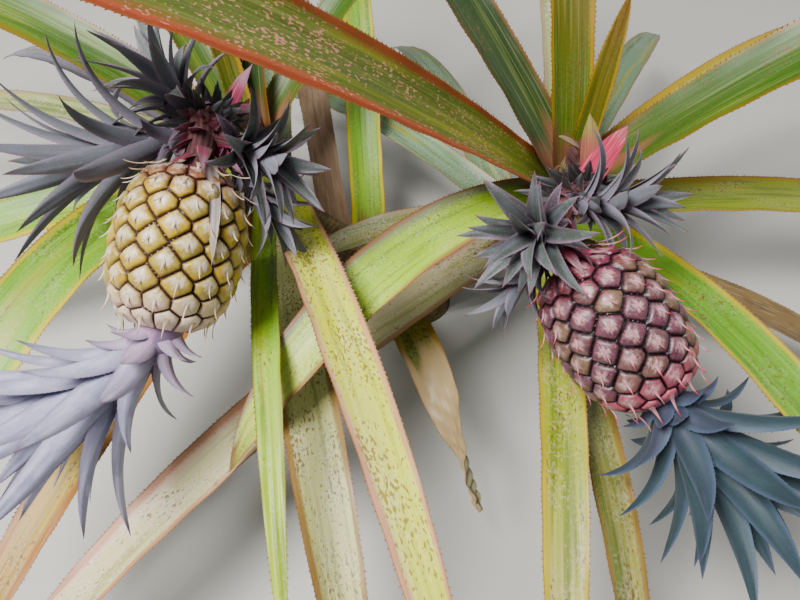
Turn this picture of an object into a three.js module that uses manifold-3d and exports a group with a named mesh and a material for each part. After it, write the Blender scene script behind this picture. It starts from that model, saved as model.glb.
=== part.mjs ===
// A pineapple plant in fruit: one clump from one root. A main stem and a side shoot lean apart
// from a shared foot and turn upright. Each carries a rosette of channelled, sword-shaped leaves
// and a stalk that has bowed over under its fruit, with slips round the fruit's base and a crown
// of leaves at its far end. Millimetres and degrees, +Z up, the ground at z = 0, the origin in
// the middle of the flat cut under the main stem. Headings run anticlockwise from +X.

import * as THREE from "three";
import { mergeVertices } from "three/addons/utils/BufferGeometryUtils.js";
import Module from "manifold-3d";

const wasm = await Module();
wasm.setup();

const V = (x, y, z) => new THREE.Vector3(x, y, z);
const UP = V(0, 0, 1);
const DEG = Math.PI / 180;

// Clearance between pieces that touch
const GAP = 0.3;

// Slivers narrower than this are closed up where pieces are joined or cut. The first width that
// leaves two faces at every edge is used. Seats on a stem allow only the finer widths.
const GRID_PER_MM = 1000;
const SLIVERS = [0.4, 0.36, 0.32, 0.28, 0.24, 0.2, 0.15, 0.1];
const FINE_SLIVERS = [0.05, 0.04, 0.03, 0.02];

// Turn between one leaf and the next round a stem
const GOLDEN_TURN = 137.508;

// Stems
const FOOT_FLARE = 14;
const FLARE_HEIGHT = 22;
const STEM_TIP_RADIUS = 15;

// Share along a stem at which its oldest leaf grows, and its youngest, which is also a tuft's
const FIRST_LEAF_SHARE = 0.5;
const LAST_LEAF_SHARE = 0.97;

// Leaves of the rosettes. A leaf is as thick as its length over LEAF_SLENDERNESS.
const LEAF_SLENDERNESS = 82;
const LEAF_SIDES = 6;
const LEAF_STEPS = 10;
const SHEATH_SPREAD = 0.22;
const SHEATH_LENGTH = 0.06;
const CHANNEL_AT_ROOT = 0.62;
const CHANNEL_OPENING = 0.75;
const LEAF_THINNING = 0.55;
const LEAF_TAPER = 4.5;
const SHORT_LEAF_TAPER = 3;

// Fruit
const FRUIT_LENGTH = 128;
const FRUIT_RADIUS = 49;
const FRUIT_END_SHARE = 0.52;
const EYES_ROUND = 12;
const EYE_ROWS = 8;
const EYE_RISE = 4.5;

// Stalk under the fruit: it goes straight on from the stem, and meets the fruit along its axis
const STALK_RADIUS = 12;
const STALK_RISE = 18;
const STALK_APPROACH = [26, 8];

// Bracts on the stalk
const BRACT_THICKNESS = 2;
const BRACT_DROOP = 25;

// Tufts of small leaves. They are longest part of the way up the core.
const SHORTEST_SHARE = 0.5;
const GROWTH_START = 0.08;
const GROWTH_SPAN = 0.68;
const CORE_TAPER = 0.5;
const CORE_STEPS = 5;
const TUFT_LEAF_STEPS = 2;
const TUFT_LEAF_THICKNESS = 1.6;
const TUFT_LEAF_SLENDERNESS = 50;
const INNER_STIFFNESS = 0.7;

// The crown at the far end of a fruit: a straight neck, then a bend
const CROWN = { coreRadius: 21, leaves: 19, firstLeaf: 0.1, outerRise: 46, innerRise: 84, droop: 62 };
const CROWN_NECK = 20;
const CROWN_CORE = 44;

// Slips round the base of a fruit: leafy side shoots on cores that sag a little
const SLIP = { firstLeaf: 0.45, outerRise: 40, innerRise: 80, droop: 40 };
const SLIP_BEND_SHARE = 0.55;
const SLIP_SAG = 2;

// Colours of the solids
const COLOURS = {
  stem: 0x8a7a55,
  stalk: 0x8d5f4e,
  rightFruit: 0x7a4350,
  leftFruit: 0xc9a650,
  rightCrown: 0x6f8a82,
  leftCrown: 0xa9a4b8,
  slip: 0x7c7f86,
  green: 0x86a32c,
  dark: 0x4f6a2c,
  yellow: 0xa9a63a,
  red: 0xa8552c,
  pale: 0xb7ab78,
  brown: 0x7d6144,
};

// The two shoots. A leaf is [name, heading, rise, droop, sweep, roll, length, width, colour], from
// the oldest and lowest to the youngest: where it points and climbs at its root, how far it bends
// down and sideways to its tip, and how far its face turns. Leaves that are left on the bare lower
// stem give their own share along it at the end. A bract is [share along the stalk, heading, rise,
// length, width].
const RIGHT = {
  name: "right",
  stem: [V(0, 0, 0), V(0, 0, 80), V(188, 50, 60), V(168, 0, 268)],
  stemRadius: 30,
  leaves: [
    ["fallen_brown", 338, 8, 46, -5, 0, 540, 48, "brown"],
    ["rear_low", 108, 12, 50, 0, 0, 560, 50, "green"],
    ["front_under", 274.5, 23, 57, -5, -12, 620, 43, "pale"],
    ["rear_left_low", 136, 10, 46, 0, 0, 520, 50, "green"],
    ["long_beige", 222, 11, 33, 10, 6, 800, 62, "pale"],
    ["rear_right_low", 60, 14, 48, 0, 0, 560, 52, "dark"],
    ["pale_left", 190, 14, 54, 0, 0, 330, 46, "pale"],
    ["front", 262, 21, 57, 4, 0, 640, 45, "yellow"],
    ["right_low", 0, 9.5, 46, -9, 10, 660, 55, "green"],
    ["front_right", 291, 31, 58, -5, 6, 620, 49, "green"],
    ["right_arching", 35, 24, 52, -26, 16, 640, 54, "yellow"],
    ["channelled_left", 221, 34, 88, 9, -4, 530, 68, "green"],
    ["rear_middle", 89, 31, 56, 0, 0, 600, 48, "yellow"],
    ["red_edged", 203, 46, 25, -5, -37, 840, 71, "red"],
    ["right_high", 355, 52, 45, 0, 15, 700, 66, "green"],
    ["dark_rear_left", 133, 42, 42, 1, -6, 680, 58, "dark"],
    ["upright", 104, 66, 34, 0, -20, 560, 48, "yellow", 0.955],
    ["young_rear", 66, 82, 14, 0, 0, 180, 26, "green", 0.985],
  ],
  stalk: [V(164, -36, 304), V(155, -80, 326), V(137, -122, 350), V(110, -160, 370)],
  bracts: [
    [0.22, 205, 58, 70, 26],
    [0.4, 95, 60, 60, 24],
    [0.5, 222, 42, 60, 24],
    [0.58, 50, 34, 74, 26],
  ],
  slips: {
    left: [
      {
        foot: V(97, -185, 372),
        tip: V(72, -218, 398),
        radius: 12, leaves: 8, length: 62, width: 18,
        turn: 0,
      },
      {
        foot: V(98, -198, 362),
        tip: V(64, -228, 338),
        radius: 9, leaves: 6, length: 50, width: 15,
        turn: 20,
      },
    ],
    right: [
      {
        foot: V(112, -158, 366),
        tip: V(148, -178, 390),
        radius: 12, leaves: 8, length: 66, width: 18,
        turn: 0,
      },
    ],
  },
  fruitBase: V(111, -215, 357),
  fruitAxis: V(0.556, -0.698, -0.457),
  crown: { bend: V(0.3, 0, -0.15), length: 130, width: 29, turn: 105 },
  colours: { fruit: COLOURS.rightFruit, crown: COLOURS.rightCrown },
};

const LEFT = {
  name: "left",
  stem: [V(-6, 4, 50), V(-60, 24, 62), V(-232, 110, 60), V(-207, 60, 268)],
  stemRadius: 25,
  leaves: [
    ["rear_of_joint", 94, 48, 45, 0, 0, 500, 50, "green", 0.2],
    ["dead_tip", 291, 40, 90, 0, 0, 420, 50, "green", 0.27],
    ["dry_rear", 102, 50, 45, 0, 0, 480, 42, "brown", 0.35],
    ["front_left_low", 248, 18, 43, 2, -4, 640, 54, "yellow"],
    ["rear_low", 136, 12, 50, 0, 0, 540, 50, "green"],
    ["front_wide", 282, 20, 53, 2, 4, 680, 60, "pale"],
    ["whitish_rear_left", 146, 17, 50, 1, 0, 600, 52, "pale"],
    ["rear", 92, 22, 52, 0, 0, 560, 50, "green"],
    ["broad_left", 198, 14, 60, 7, -26, 640, 65, "green"],
    ["narrow_front", 280.5, 29, 58, -3, 0, 600, 27, "green"],
    ["edge_on_left", 165, 13, 44, 0, 0, 600, 44, "pale"],
    ["broad_left_front", 238, 33, 86, 23, -14, 582, 68, "green"],
    ["left_rear", 159, 31, 55, 1, -15, 660, 63, "green", 0.85],
    ["speckled_front", 292, 28, 57, -6, -14, 720, 47, "yellow"],
    ["rear_left_high", 128, 44, 50, 0, 0, 600, 50, "green"],
    ["rear_right", 49, 40, 54, 0, 0, 560, 46, "green"],
    ["rear_upright", 92, 60, 40, 0, 0, 500, 46, "dark"],
    ["short_upright", 116, 70, 24, 0, 0, 240, 30, "yellow"],
  ],
  stalk: [V(-208, 22, 312), V(-206, -24, 350), V(-201, -75, 390), V(-195, -112, 414)],
  bracts: [
    [0.18, 300, 60, 70, 26],
    [0.34, 40, 60, 62, 24],
    [0.44, 330, 40, 60, 24],
    [0.52, 190, 30, 62, 24],
  ],
  slips: {
    left: [
      {
        foot: V(-207, -112, 408),
        tip: V(-264, -126, 396),
        radius: 13, leaves: 9, length: 118, width: 24,
        turn: 5,
      },
    ],
    rear: [
      {
        foot: V(-205, -88, 392),
        tip: V(-225, -80, 428),
        radius: 12, leaves: 8, length: 76, width: 20,
        turn: 10,
      },
    ],
    right: [
      {
        foot: V(-181, -122, 410),
        tip: V(-134, -158, 418),
        radius: 12, leaves: 8, length: 64, width: 19,
        turn: 15,
      },
      {
        foot: V(-180, -128, 400),
        tip: V(-137, -166, 361),
        radius: 9, leaves: 6, length: 56, width: 16,
        turn: 35,
      },
    ],
  },
  fruitBase: V(-196, -157, 404),
  fruitAxis: V(-0.207, -0.82, -0.537),
  crown: { bend: V(-1.2, 0, 0), length: 145, width: 29, turn: 30 },
  colours: { fruit: COLOURS.leftFruit, crown: COLOURS.leftCrown },
};

// Gives the side faces on the second half of a cylinder's turn the other diagonal. A thin blade then
// bends alike on both its faces, which so never cross.
function matchDiagonals(corners, sides, steps) {
  for (let i = (sides / 2) * steps * 6; i < sides * steps * 6; i += 6) {
    const [a, b, d, , c] = corners.slice(i, i + 6);
    corners.set([a, b, c, a, c, d], i);
  }
}

// A unit cylinder whose every vertex is moved by place(share along, turn, reach from the middle).
// A ring that place draws together to one point becomes a tip.
function bentCylinder(sides, steps, place, matched = false) {
  const shape = new THREE.CylinderGeometry(1, 1, 1, sides, steps, false, Math.PI / 2);
  if (matched) matchDiagonals(shape.index.array, sides, steps);
  const at = shape.attributes.position;
  for (let i = 0; i < at.count; i++) {
    const reach = Math.round(Math.hypot(at.getX(i), at.getZ(i)));
    const turn = Math.atan2(at.getX(i), at.getZ(i));
    const point = place(at.getY(i) + 0.5, turn, reach);
    at.setXYZ(i, point.x, point.y, point.z);
  }
  return closed(shape);
}

// The geometry with only its positions, rounded to a fine grid, shared vertices merged and
// collapsed faces dropped.
function closed(shape) {
  const bare = new THREE.BufferGeometry();
  const rounded = Float32Array.from(shape.attributes.position.array, (length) => {
    return Math.round(length * GRID_PER_MM) / GRID_PER_MM;
  });
  bare.setAttribute("position", new THREE.BufferAttribute(rounded, 3));
  bare.setIndex(shape.index);
  const merged = mergeVertices(bare, 0.1 / GRID_PER_MM);
  const kept = [];
  for (let i = 0; i < merged.index.count; i += 3) {
    const [a, b, c] = [0, 1, 2].map((k) => merged.index.getX(i + k));
    if (a !== b && b !== c && c !== a) kept.push(a, b, c);
  }
  merged.setIndex(kept);
  return merged;
}

function toSolid(geometry) {
  return new wasm.Manifold(
    new wasm.Mesh({
      numProp: 3,
      vertProperties: new Float32Array(geometry.attributes.position.array),
      triVerts: new Uint32Array(geometry.index.array),
    }),
  );
}

function fromSolid(solid) {
  const mesh = solid.getMesh();
  const geometry = new THREE.BufferGeometry();
  geometry.setAttribute("position", new THREE.BufferAttribute(mesh.vertProperties, 3));
  geometry.setIndex(new THREE.BufferAttribute(mesh.triVerts, 1));
  return geometry;
}

// The largest body of a solid. Loose scraps and sealed hollows fall away.
function largestBody(solid) {
  return solid.decompose().reduce((best, body) => (body.volume() > best.volume() ? body : best));
}

function everyEdgeHasTwoFaces(geometry) {
  const uses = new Map();
  const { index } = geometry;
  for (let i = 0; i < index.count; i++) {
    const from = index.getX(i);
    const to = index.getX(i % 3 === 2 ? i - 2 : i + 1);
    const edge = `${Math.min(from, to)} ${Math.max(from, to)}`;
    uses.set(edge, (uses.get(edge) ?? 0) + 1);
  }
  return [...uses.values()].every((count) => count === 2);
}

function tidied(solid, name, slivers = SLIVERS) {
  for (const width of slivers) {
    const geometry = closed(fromSolid(largestBody(solid.asOriginal().simplify(width))));
    if (everyEdgeHasTwoFaces(geometry)) return geometry;
  }
  throw new Error(`${name} has pinched edges`);
}

function union(geometries) {
  return geometries.map(toSolid).reduce((whole, piece) => whole.add(piece));
}

function cut(solid, cutters) {
  return cutters.map(toSolid).reduce((rest, cutter) => rest.subtract(cutter), solid);
}

function named(name, geometry, colour, roughness = 0.6) {
  const shown = geometry.toNonIndexed();
  shown.computeVertexNormals();
  const mesh = new THREE.Mesh(
    shown,
    new THREE.MeshStandardMaterial({ color: colour, roughness, metalness: 0 }),
  );
  mesh.name = name;
  return mesh;
}

// Leaf rule

// The direction of a blade at a share of its length, and the two directions across it. The blade
// rolls most near its root.
function bladeAxes(blade, share) {
  const bend = share ** 1.5;
  const heading = (blade.heading + blade.sweep * bend) * DEG;
  const climb = (blade.rise - blade.droop * bend) * DEG;
  const outward = V(Math.cos(heading), Math.sin(heading), 0);
  const along = outward.clone().multiplyScalar(Math.cos(climb)).addScaledVector(UP, Math.sin(climb));
  const side = V(-Math.sin(heading), Math.cos(heading), 0);
  const roll = blade.roll * (1 - (1 - share) ** 4) * DEG;
  side.applyAxisAngle(along, roll);
  return { along, side, face: along.clone().cross(side) };
}

// Evenly spaced points down the middle of a blade, in steps of its length.
function bladeLine(blade, steps) {
  const points = [blade.root.clone()];
  for (let i = 0; i < steps; i++) {
    const { along } = bladeAxes(blade, (i + 0.5) / steps);
    points.push(points[i].clone().addScaledVector(along, blade.length / steps));
  }
  return points;
}

// Half the width of a blade: a clasping sheath, an even blade and a long point.
function bladeHalfWidth(blade, share) {
  const sheath = SHEATH_SPREAD * Math.exp(-share / SHEATH_LENGTH);
  return (blade.width / 2) * (1 - share ** blade.taper + sheath * (1 - share));
}

// A closed blade, curved across like a gutter that opens towards its tip.
function bladeGeometry(blade, sides, steps) {
  const line = bladeLine(blade, steps);
  const place = (share, turn, reach) => {
    const { side, face } = bladeAxes(blade, share);
    const middle = line[Math.round(share * steps)];
    const radius = blade.width * (CHANNEL_AT_ROOT + CHANNEL_OPENING * share);
    const angle = (reach * Math.sin(turn) * bladeHalfWidth(blade, share)) / radius;
    const thick = blade.thickness * (1 - LEAF_THINNING * share);
    const lift = share === 1 ? 0 : (-reach * Math.cos(turn) * thick) / 2;
    const ring = radius - lift;
    return middle
      .clone()
      .addScaledVector(side, ring * Math.sin(angle))
      .addScaledVector(face, radius - ring * Math.cos(angle));
  };
  return bentCylinder(sides, steps, place, true);
}

// Stems

// The radius of a stem: flared at the ground, then an even taper to its tip.
function stemRadius(shoot, stem, share) {
  const flare = FOOT_FLARE * Math.exp(-stem.getPointAt(share).z / FLARE_HEIGHT);
  return shoot.stemRadius + flare + (STEM_TIP_RADIUS - shoot.stemRadius) * share ** 2;
}

function stemGeometry(shoot, stem, extra = 0) {
  return limbGeometry(stem, 12, 10, (share) => stemRadius(shoot, stem, share) + extra);
}

// A round tapering limb along a curve, never below the ground. The radius is a function of the
// share along it.
function limbGeometry(curve, sides, steps, radiusAt) {
  const frames = curve.computeFrenetFrames(steps, false);
  return bentCylinder(sides, steps, (share, turn, reach) => {
    const k = Math.round(share * steps);
    const radius = reach * radiusAt(share);
    const point = curve
      .getPointAt(share)
      .addScaledVector(frames.normals[k], radius * Math.sin(turn))
      .addScaledVector(frames.binormals[k], -radius * Math.cos(turn));
    return point.setZ(Math.max(point.z, 0));
  });
}

// Fruit

function fruitRadius(share) {
  const from = Math.abs(2 * share - 1);
  return FRUIT_RADIUS * Math.sqrt(1 - (1 - FRUIT_END_SHARE ** 2) * from ** 2.5);
}

// The barrel of a fruit along +Z, tiled with staggered rows of diamond eyes that rise to a point.
function fruitGeometry() {
  const points = [];
  const faces = [];
  const rows = EYE_ROWS + 1;
  const put = (row, column, rise) => {
    const angle = ((column + (row % 2) / 2) / EYES_ROUND) * 2 * Math.PI;
    const share = row / rows;
    const radius = fruitRadius(share) + rise;
    points.push(radius * Math.cos(angle), radius * Math.sin(angle), share * FRUIT_LENGTH);
    return points.length / 3 - 1;
  };
  const corner = [];
  for (let row = 0; row <= rows; row++) {
    corner.push(Array.from({ length: EYES_ROUND }, (_, column) => put(row, column, 0)));
  }
  const around = (row, column) => corner[row][(column + EYES_ROUND) % EYES_ROUND];
  const foot = points.push(0, 0, 0) / 3 - 1;
  const head = points.push(0, 0, FRUIT_LENGTH) / 3 - 1;
  for (let column = 0; column < EYES_ROUND; column++) {
    const shift = rows % 2;
    faces.push(foot, around(0, column + 1), around(0, column));
    faces.push(around(0, column), around(0, column + 1), around(1, column));
    faces.push(head, around(rows, column), around(rows, column + 1));
    faces.push(around(rows, column + 1), around(rows, column), around(rows - 1, column + shift));
    for (let row = 1; row < rows; row++) {
      const middle = put(row, column + 0.5, EYE_RISE);
      const next = column + (row % 2);
      const ring = [
        around(row - 1, next),
        around(row, column + 1),
        around(row + 1, next),
        around(row, column),
      ];
      ring.forEach((point, i) => faces.push(middle, point, ring[(i + 1) % 4]));
    }
  }
  const geometry = new THREE.BufferGeometry();
  geometry.setAttribute("position", new THREE.BufferAttribute(new Float32Array(points), 3));
  geometry.setIndex(faces);
  return geometry;
}

// Tufts: crowns and slips

// Leaves of a tuft along its core, from the short outer ones to the long inner ones.
function tuftBlades(tuft) {
  const blades = [];
  for (let i = 0; i < tuft.leaves; i++) {
    const share = i / (tuft.leaves - 1);
    const growth = Math.sin(Math.PI * (GROWTH_START + GROWTH_SPAN * share));
    const grown = SHORTEST_SHARE + (1 - SHORTEST_SHARE) * growth;
    const length = tuft.leafLength * grown;
    blades.push({
      at: tuft.firstLeaf + (LAST_LEAF_SHARE - tuft.firstLeaf) * share,
      heading: tuft.turn + GOLDEN_TURN * i,
      rise: tuft.outerRise + (tuft.innerRise - tuft.outerRise) * share,
      droop: tuft.droop * (1 - INNER_STIFFNESS * share),
      sweep: 0,
      roll: 0,
      taper: SHORT_LEAF_TAPER,
      length,
      width: (tuft.leafWidth * (1 + grown)) / 2,
      thickness: Math.max(TUFT_LEAF_THICKNESS, length / TUFT_LEAF_SLENDERNESS),
      root: V(0, 0, 0),
    });
  }
  return blades;
}

// A core with its leaves fused on, each root sunk in the core.
function tuftPieces(tuft) {
  const coreRadius = (share) => tuft.coreRadius * (1 - CORE_TAPER * share);
  const core = limbGeometry(tuft.curve, 8, CORE_STEPS, coreRadius);
  const frames = tuft.curve.computeFrenetFrames(CORE_STEPS, false);
  const blades = tuftBlades(tuft).map((blade) => {
    const k = Math.round(blade.at * CORE_STEPS);
    const place = new THREE.Matrix4().makeBasis(
      frames.normals[k],
      frames.binormals[k],
      frames.tangents[k],
    );
    place.setPosition(tuft.curve.getPointAt(blade.at));
    return bladeGeometry(blade, 4, TUFT_LEAF_STEPS).applyMatrix4(place);
  });
  return [core, ...blades];
}

function slipPieces(slip) {
  const middle = slip.foot.clone().lerp(slip.tip, SLIP_BEND_SHARE).addScaledVector(UP, -SLIP_SAG);
  return tuftPieces({
    ...SLIP,
    curve: new THREE.QuadraticBezierCurve3(slip.foot, middle, slip.tip),
    coreRadius: slip.radius,
    leaves: slip.leaves,
    turn: slip.turn,
    leafLength: slip.length,
    leafWidth: slip.width,
  });
}

// Shoots

const group = new THREE.Group();

function addLeaves(shoot, stem) {
  const trunk = stemGeometry(shoot, stem, GAP);
  const last = shoot.leaves.length - 1;
  shoot.leaves.forEach((leaf, rank) => {
    const [name, heading, rise, droop, sweep, roll, length, width, colour, low] = leaf;
    const share = low ?? FIRST_LEAF_SHARE + (LAST_LEAF_SHARE - FIRST_LEAF_SHARE) * (rank / last);
    const thickness = length / LEAF_SLENDERNESS;
    const outward = V(Math.cos(heading * DEG), Math.sin(heading * DEG), 0);
    const lean = outward.dot(stem.getTangentAt(share));
    const reach = stemRadius(shoot, stem, share) / Math.sqrt(1 - lean * lean);
    const root = stem.getPointAt(share).addScaledVector(outward, reach);
    const bend = { heading, rise, droop, sweep, roll };
    const blade = { ...bend, length, width, thickness, root, taper: LEAF_TAPER };
    const whole = toSolid(bladeGeometry(blade, LEAF_SIDES, LEAF_STEPS));
    const title = `${shoot.name}_leaf_${name}`;
    const seated = tidied(cut(whole, [trunk]), title, FINE_SLIVERS);
    group.add(named(title, seated, COLOURS[colour]));
  });
}

function bractGeometry(stalk, [share, heading, rise, length, width]) {
  return bladeGeometry(
    {
      heading,
      rise,
      droop: BRACT_DROOP,
      sweep: 0,
      roll: 0,
      taper: SHORT_LEAF_TAPER,
      length,
      width,
      thickness: BRACT_THICKNESS,
      root: stalk.getPointAt(share),
    },
    4,
    3,
  );
}

function addShoot(shoot, stemName, neighbours) {
  const stem = new THREE.CubicBezierCurve3(...shoot.stem);
  const limb = cut(toSolid(stemGeometry(shoot, stem)), neighbours);
  group.add(named(stemName, tidied(limb, stemName, FINE_SLIVERS), COLOURS.stem, 0.9));
  addLeaves(shoot, stem);

  const axis = shoot.fruitAxis.clone().normalize();
  const upwards = stem.getTangentAt(1);
  const foot = stem.getPointAt(1).addScaledVector(upwards, GAP);
  const head = shoot.fruitBase.clone().addScaledVector(axis, -GAP);
  const stalk = new THREE.CatmullRomCurve3([
    foot,
    foot.clone().addScaledVector(upwards, STALK_RISE),
    ...shoot.stalk,
    ...STALK_APPROACH.map((distance) => head.clone().addScaledVector(axis, -distance)),
    head,
  ]);
  const stalkLimb = (extra) => limbGeometry(stalk, 8, 14, () => STALK_RADIUS + extra);
  const bracts = shoot.bracts.map((bract) => bractGeometry(stalk, bract));
  const stalkName = `${shoot.name}_stalk`;
  const dressed = tidied(union([stalkLimb(0), ...bracts]), stalkName);
  group.add(named(stalkName, dressed, COLOURS.stalk));

  const turned = new THREE.Quaternion().setFromUnitVectors(UP, axis);
  const fruit = named(`${shoot.name}_fruit`, fruitGeometry(), shoot.colours.fruit);
  fruit.position.copy(shoot.fruitBase);
  fruit.quaternion.copy(turned);
  group.add(fruit);
  const fruitRoom = bentCylinder(16, 10, (share, turn, reach) => {
    const radius = reach * (fruitRadius(share) + EYE_RISE + 2 * GAP);
    const along = share * (FRUIT_LENGTH + 2 * GAP) - GAP;
    return V(radius * Math.cos(turn), radius * Math.sin(turn), along);
  })
    .applyQuaternion(turned)
    .translate(...shoot.fruitBase.toArray());

  Object.entries(shoot.slips).forEach(([side, slips]) => {
    const title = `${shoot.name}_slip_${side}`;
    const seated = cut(union(slips.flatMap(slipPieces)), [stalkLimb(GAP), fruitRoom]);
    group.add(named(title, tidied(seated, title), COLOURS.slip));
  });

  const crownFoot = shoot.fruitBase.clone().addScaledVector(axis, FRUIT_LENGTH + GAP);
  const crownName = `${shoot.name}_crown`;
  const crownEnd = axis.clone().add(shoot.crown.bend).multiplyScalar(CROWN_CORE).add(crownFoot);
  const crown = union(
    tuftPieces({
      ...CROWN,
      curve: new THREE.QuadraticBezierCurve3(
        crownFoot,
        crownFoot.clone().addScaledVector(axis, CROWN_NECK),
        crownEnd,
      ),
      turn: shoot.crown.turn,
      leafLength: shoot.crown.length,
      leafWidth: shoot.crown.width,
    }),
  );
  const seatedCrown = tidied(cut(crown, [fruitRoom]), crownName);
  group.add(named(crownName, seatedCrown, shoot.colours.crown));
  return stemGeometry(shoot, stem, GAP);
}

const mainStem = addShoot(RIGHT, "main_stem", []);
addShoot(LEFT, "side_stem", [mainStem]);

export default group;
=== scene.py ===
"""Dresses the pineapple plant: a clump of two leafy shoots, each with a fruit on a bowed stalk.

The rules for limbs, blades and tufts are those of the solids, carried to finer forms: leaves get
thin edges, veins and spines, fruits get bulging eyes with papery bracts, and crowns and slips get
all their leaves. Sizes are in millimetres and degrees until a mesh is made, which is in metres.
"""

import colorsys
import logging
import math
from collections.abc import Callable
from dataclasses import dataclass, field
from enum import Enum

import bpy
import numpy as np
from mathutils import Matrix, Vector


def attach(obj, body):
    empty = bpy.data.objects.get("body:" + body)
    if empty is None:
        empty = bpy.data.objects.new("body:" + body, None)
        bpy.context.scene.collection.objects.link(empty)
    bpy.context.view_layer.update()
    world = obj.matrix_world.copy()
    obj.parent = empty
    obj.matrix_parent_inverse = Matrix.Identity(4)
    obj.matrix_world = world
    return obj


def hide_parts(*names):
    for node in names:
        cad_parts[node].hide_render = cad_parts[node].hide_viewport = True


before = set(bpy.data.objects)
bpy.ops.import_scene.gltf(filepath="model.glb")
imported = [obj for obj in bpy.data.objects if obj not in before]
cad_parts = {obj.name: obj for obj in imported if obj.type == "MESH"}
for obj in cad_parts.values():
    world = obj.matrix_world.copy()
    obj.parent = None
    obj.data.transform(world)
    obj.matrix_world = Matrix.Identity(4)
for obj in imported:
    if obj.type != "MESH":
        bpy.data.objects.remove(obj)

LOG = logging.getLogger("pineapple_plant")
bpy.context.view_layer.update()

MILLIMETRE = 0.001
UP = np.array([0.0, 0.0, 1.0])
GOLDEN_TURN = 137.508
CLEARANCE = 0.3
BODY = "root"
SHARP_ANGLE = 50
ARC_POINTS = 241
BLADE_POINTS = 240
SPAN_POINTS = 24

# How much more saturated and how much darker a colour is without the haze of daylight
HAZELESS_SATURATION = 1.14
HAZELESS_VALUE = 0.72

# Blades
BEND_POWER = 1.5
ROLL_POWER = 4
SHEATH_SHARE = 0.06
SHRIVEL_TURN = 150
EDGE_THINNING = 0.75
TIP_THINNING = 0.55
RIB_SPACING = 7
RIB_HEIGHT = 0.5
SPINES_FROM = 0.05
SPINED_SHARE = 0.92
SPINE_FOOT = 0.55
SPINE_HEIGHT = 0.3

# Stems and stalks
STEM_TIP_RADIUS = 15
FOOT_FLARE = 14
FLARE_HEIGHT = 22
SCAR_SPACING = 8.5
FIRST_LEAF_SHARE = 0.5
LAST_LEAF_SHARE = 0.97
LEAF_SEAT = 1.5
STALK_RADIUS = 11.6
RUFF_COUNT = 96
RUFF_FROM = 0.36
RUFF_SPAN = 0.63
RED_FROM = 0.62

# Fruits
FRUIT_LENGTH = 128
FRUIT_RADIUS = 49
FRUIT_END_SHARE = 0.52
EYES_ROUND = 12.5
EYE_COUNT = 108
EYE_STRAY = 0.09
EYE_REACH = 13
EYE_RISE = 4.5
EYE_SHOULDER = 7
GROOVE_DEPTH = 1.4
STAR_RADIUS = 5.4
DIMPLE_DEPTH = 0.7
DIMPLE_RADIUS = 2.6
EYE_BRACT_LENGTH = 15

# Crowns and slips, and how their finer leaves compare with those of the solids
CROWN_SEAT = 2
CROWN_CORE_RADIUS = 19
CROWN_CORE_LENGTH = 46
CROWN_CORE_BEND = 44
CROWN_WIDTH_RATIO = 1.26
SLIP_SAG = 2
SLIP_CORE_RATIO = 0.6
SLIP_LEAVES_RATIO = 3.4
SLIP_LENGTH_RATIO = 1.1
SLIP_WIDTH_RATIO = 1.08


class Side(Enum):
    """The edge of a blade, seen from its root along it with the channel up."""

    RIGHT = -1
    LEFT = 1


def linear(colour: str) -> tuple[float, float, float, float]:
    """Turns an sRGB hex colour to linear light.

    Args:
        colour: six hex digits after a hash.

    Returns:
        Red, green, blue and an alpha of one.
    """
    channels = [int(colour[i : i + 2], 16) / 255 for i in (1, 3, 5)]
    light = [c / 12.92 if c <= 0.04045 else ((c + 0.055) / 1.055) ** 2.4 for c in channels]
    return (*light, 1.0)


def pigment(colour: str) -> tuple[float, float, float, float]:
    """Takes the haze of daylight off a colour, so that it is deeper and more saturated.

    Args:
        colour: the colour as it looks outdoors, as six hex digits after a hash.

    Returns:
        The tissue's own colour in linear light, and an alpha of one.
    """
    red, green, blue, _ = linear(colour)
    hue, saturation, value = colorsys.rgb_to_hsv(red, green, blue)
    saturation = min(1.0, saturation * HAZELESS_SATURATION)
    return (*colorsys.hsv_to_rgb(hue, saturation, value * HAZELESS_VALUE), 1.0)


def smooth_step(low: float, high: float, value: np.ndarray) -> np.ndarray:
    """Rises smoothly from 0 at low to 1 at high, and falls where low is the larger.

    Args:
        low: where the rise begins.
        high: where it ends.
        value: the places asked for.

    Returns:
        Shares from 0 to 1.
    """
    share = np.clip((value - low) / (high - low), 0, 1)
    return share * share * (3 - 2 * share)


def unit(vectors: np.ndarray) -> np.ndarray:
    """Returns the vectors, along the last axis, at length one."""
    return vectors / np.linalg.norm(vectors, axis=-1, keepdims=True)


# Materials


def add_node(
    tree: bpy.types.NodeTree,
    kind: str,
    settings: dict[str, object] | None = None,
    inputs: dict[str | int, object] | None = None,
) -> bpy.types.Node:
    """Adds a node to a tree.

    Args:
        tree: the material's node tree.
        kind: Blender's name for the kind of node.
        settings: attributes of the node itself.
        inputs: a value for each socket, or the socket that feeds it.

    Returns:
        The new node.
    """
    node = tree.nodes.new(kind)
    for name, value in (settings or {}).items():
        setattr(node, name, value)
    for socket, value in (inputs or {}).items():
        if isinstance(value, bpy.types.NodeSocket):
            tree.links.new(value, node.inputs[socket])
        else:
            node.inputs[socket].default_value = value
    return node


@dataclass(frozen=True)
class Grain:
    """A natural pattern's spacing in millimetres, across and along, and how rough it is."""

    across: float
    along: float
    detail: float = 2.0


@dataclass(frozen=True)
class Tint:
    """A colour laid over those before it, where a pattern passes from low to high."""

    pattern: str
    low: float
    high: float
    strength: float
    colour: str


@dataclass(frozen=True)
class Surface:
    """How a surface takes the light: its roughness, its coat and the depth of its relief.

    The IOR is that of plant wax and plant fibre, about 1.45.
    """

    roughness: float
    relief: str
    relief_depth: float
    coat: float = 0.0
    sheen: float = 0.0
    glow: float = 0.0
    ior: float = 1.45


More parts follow.
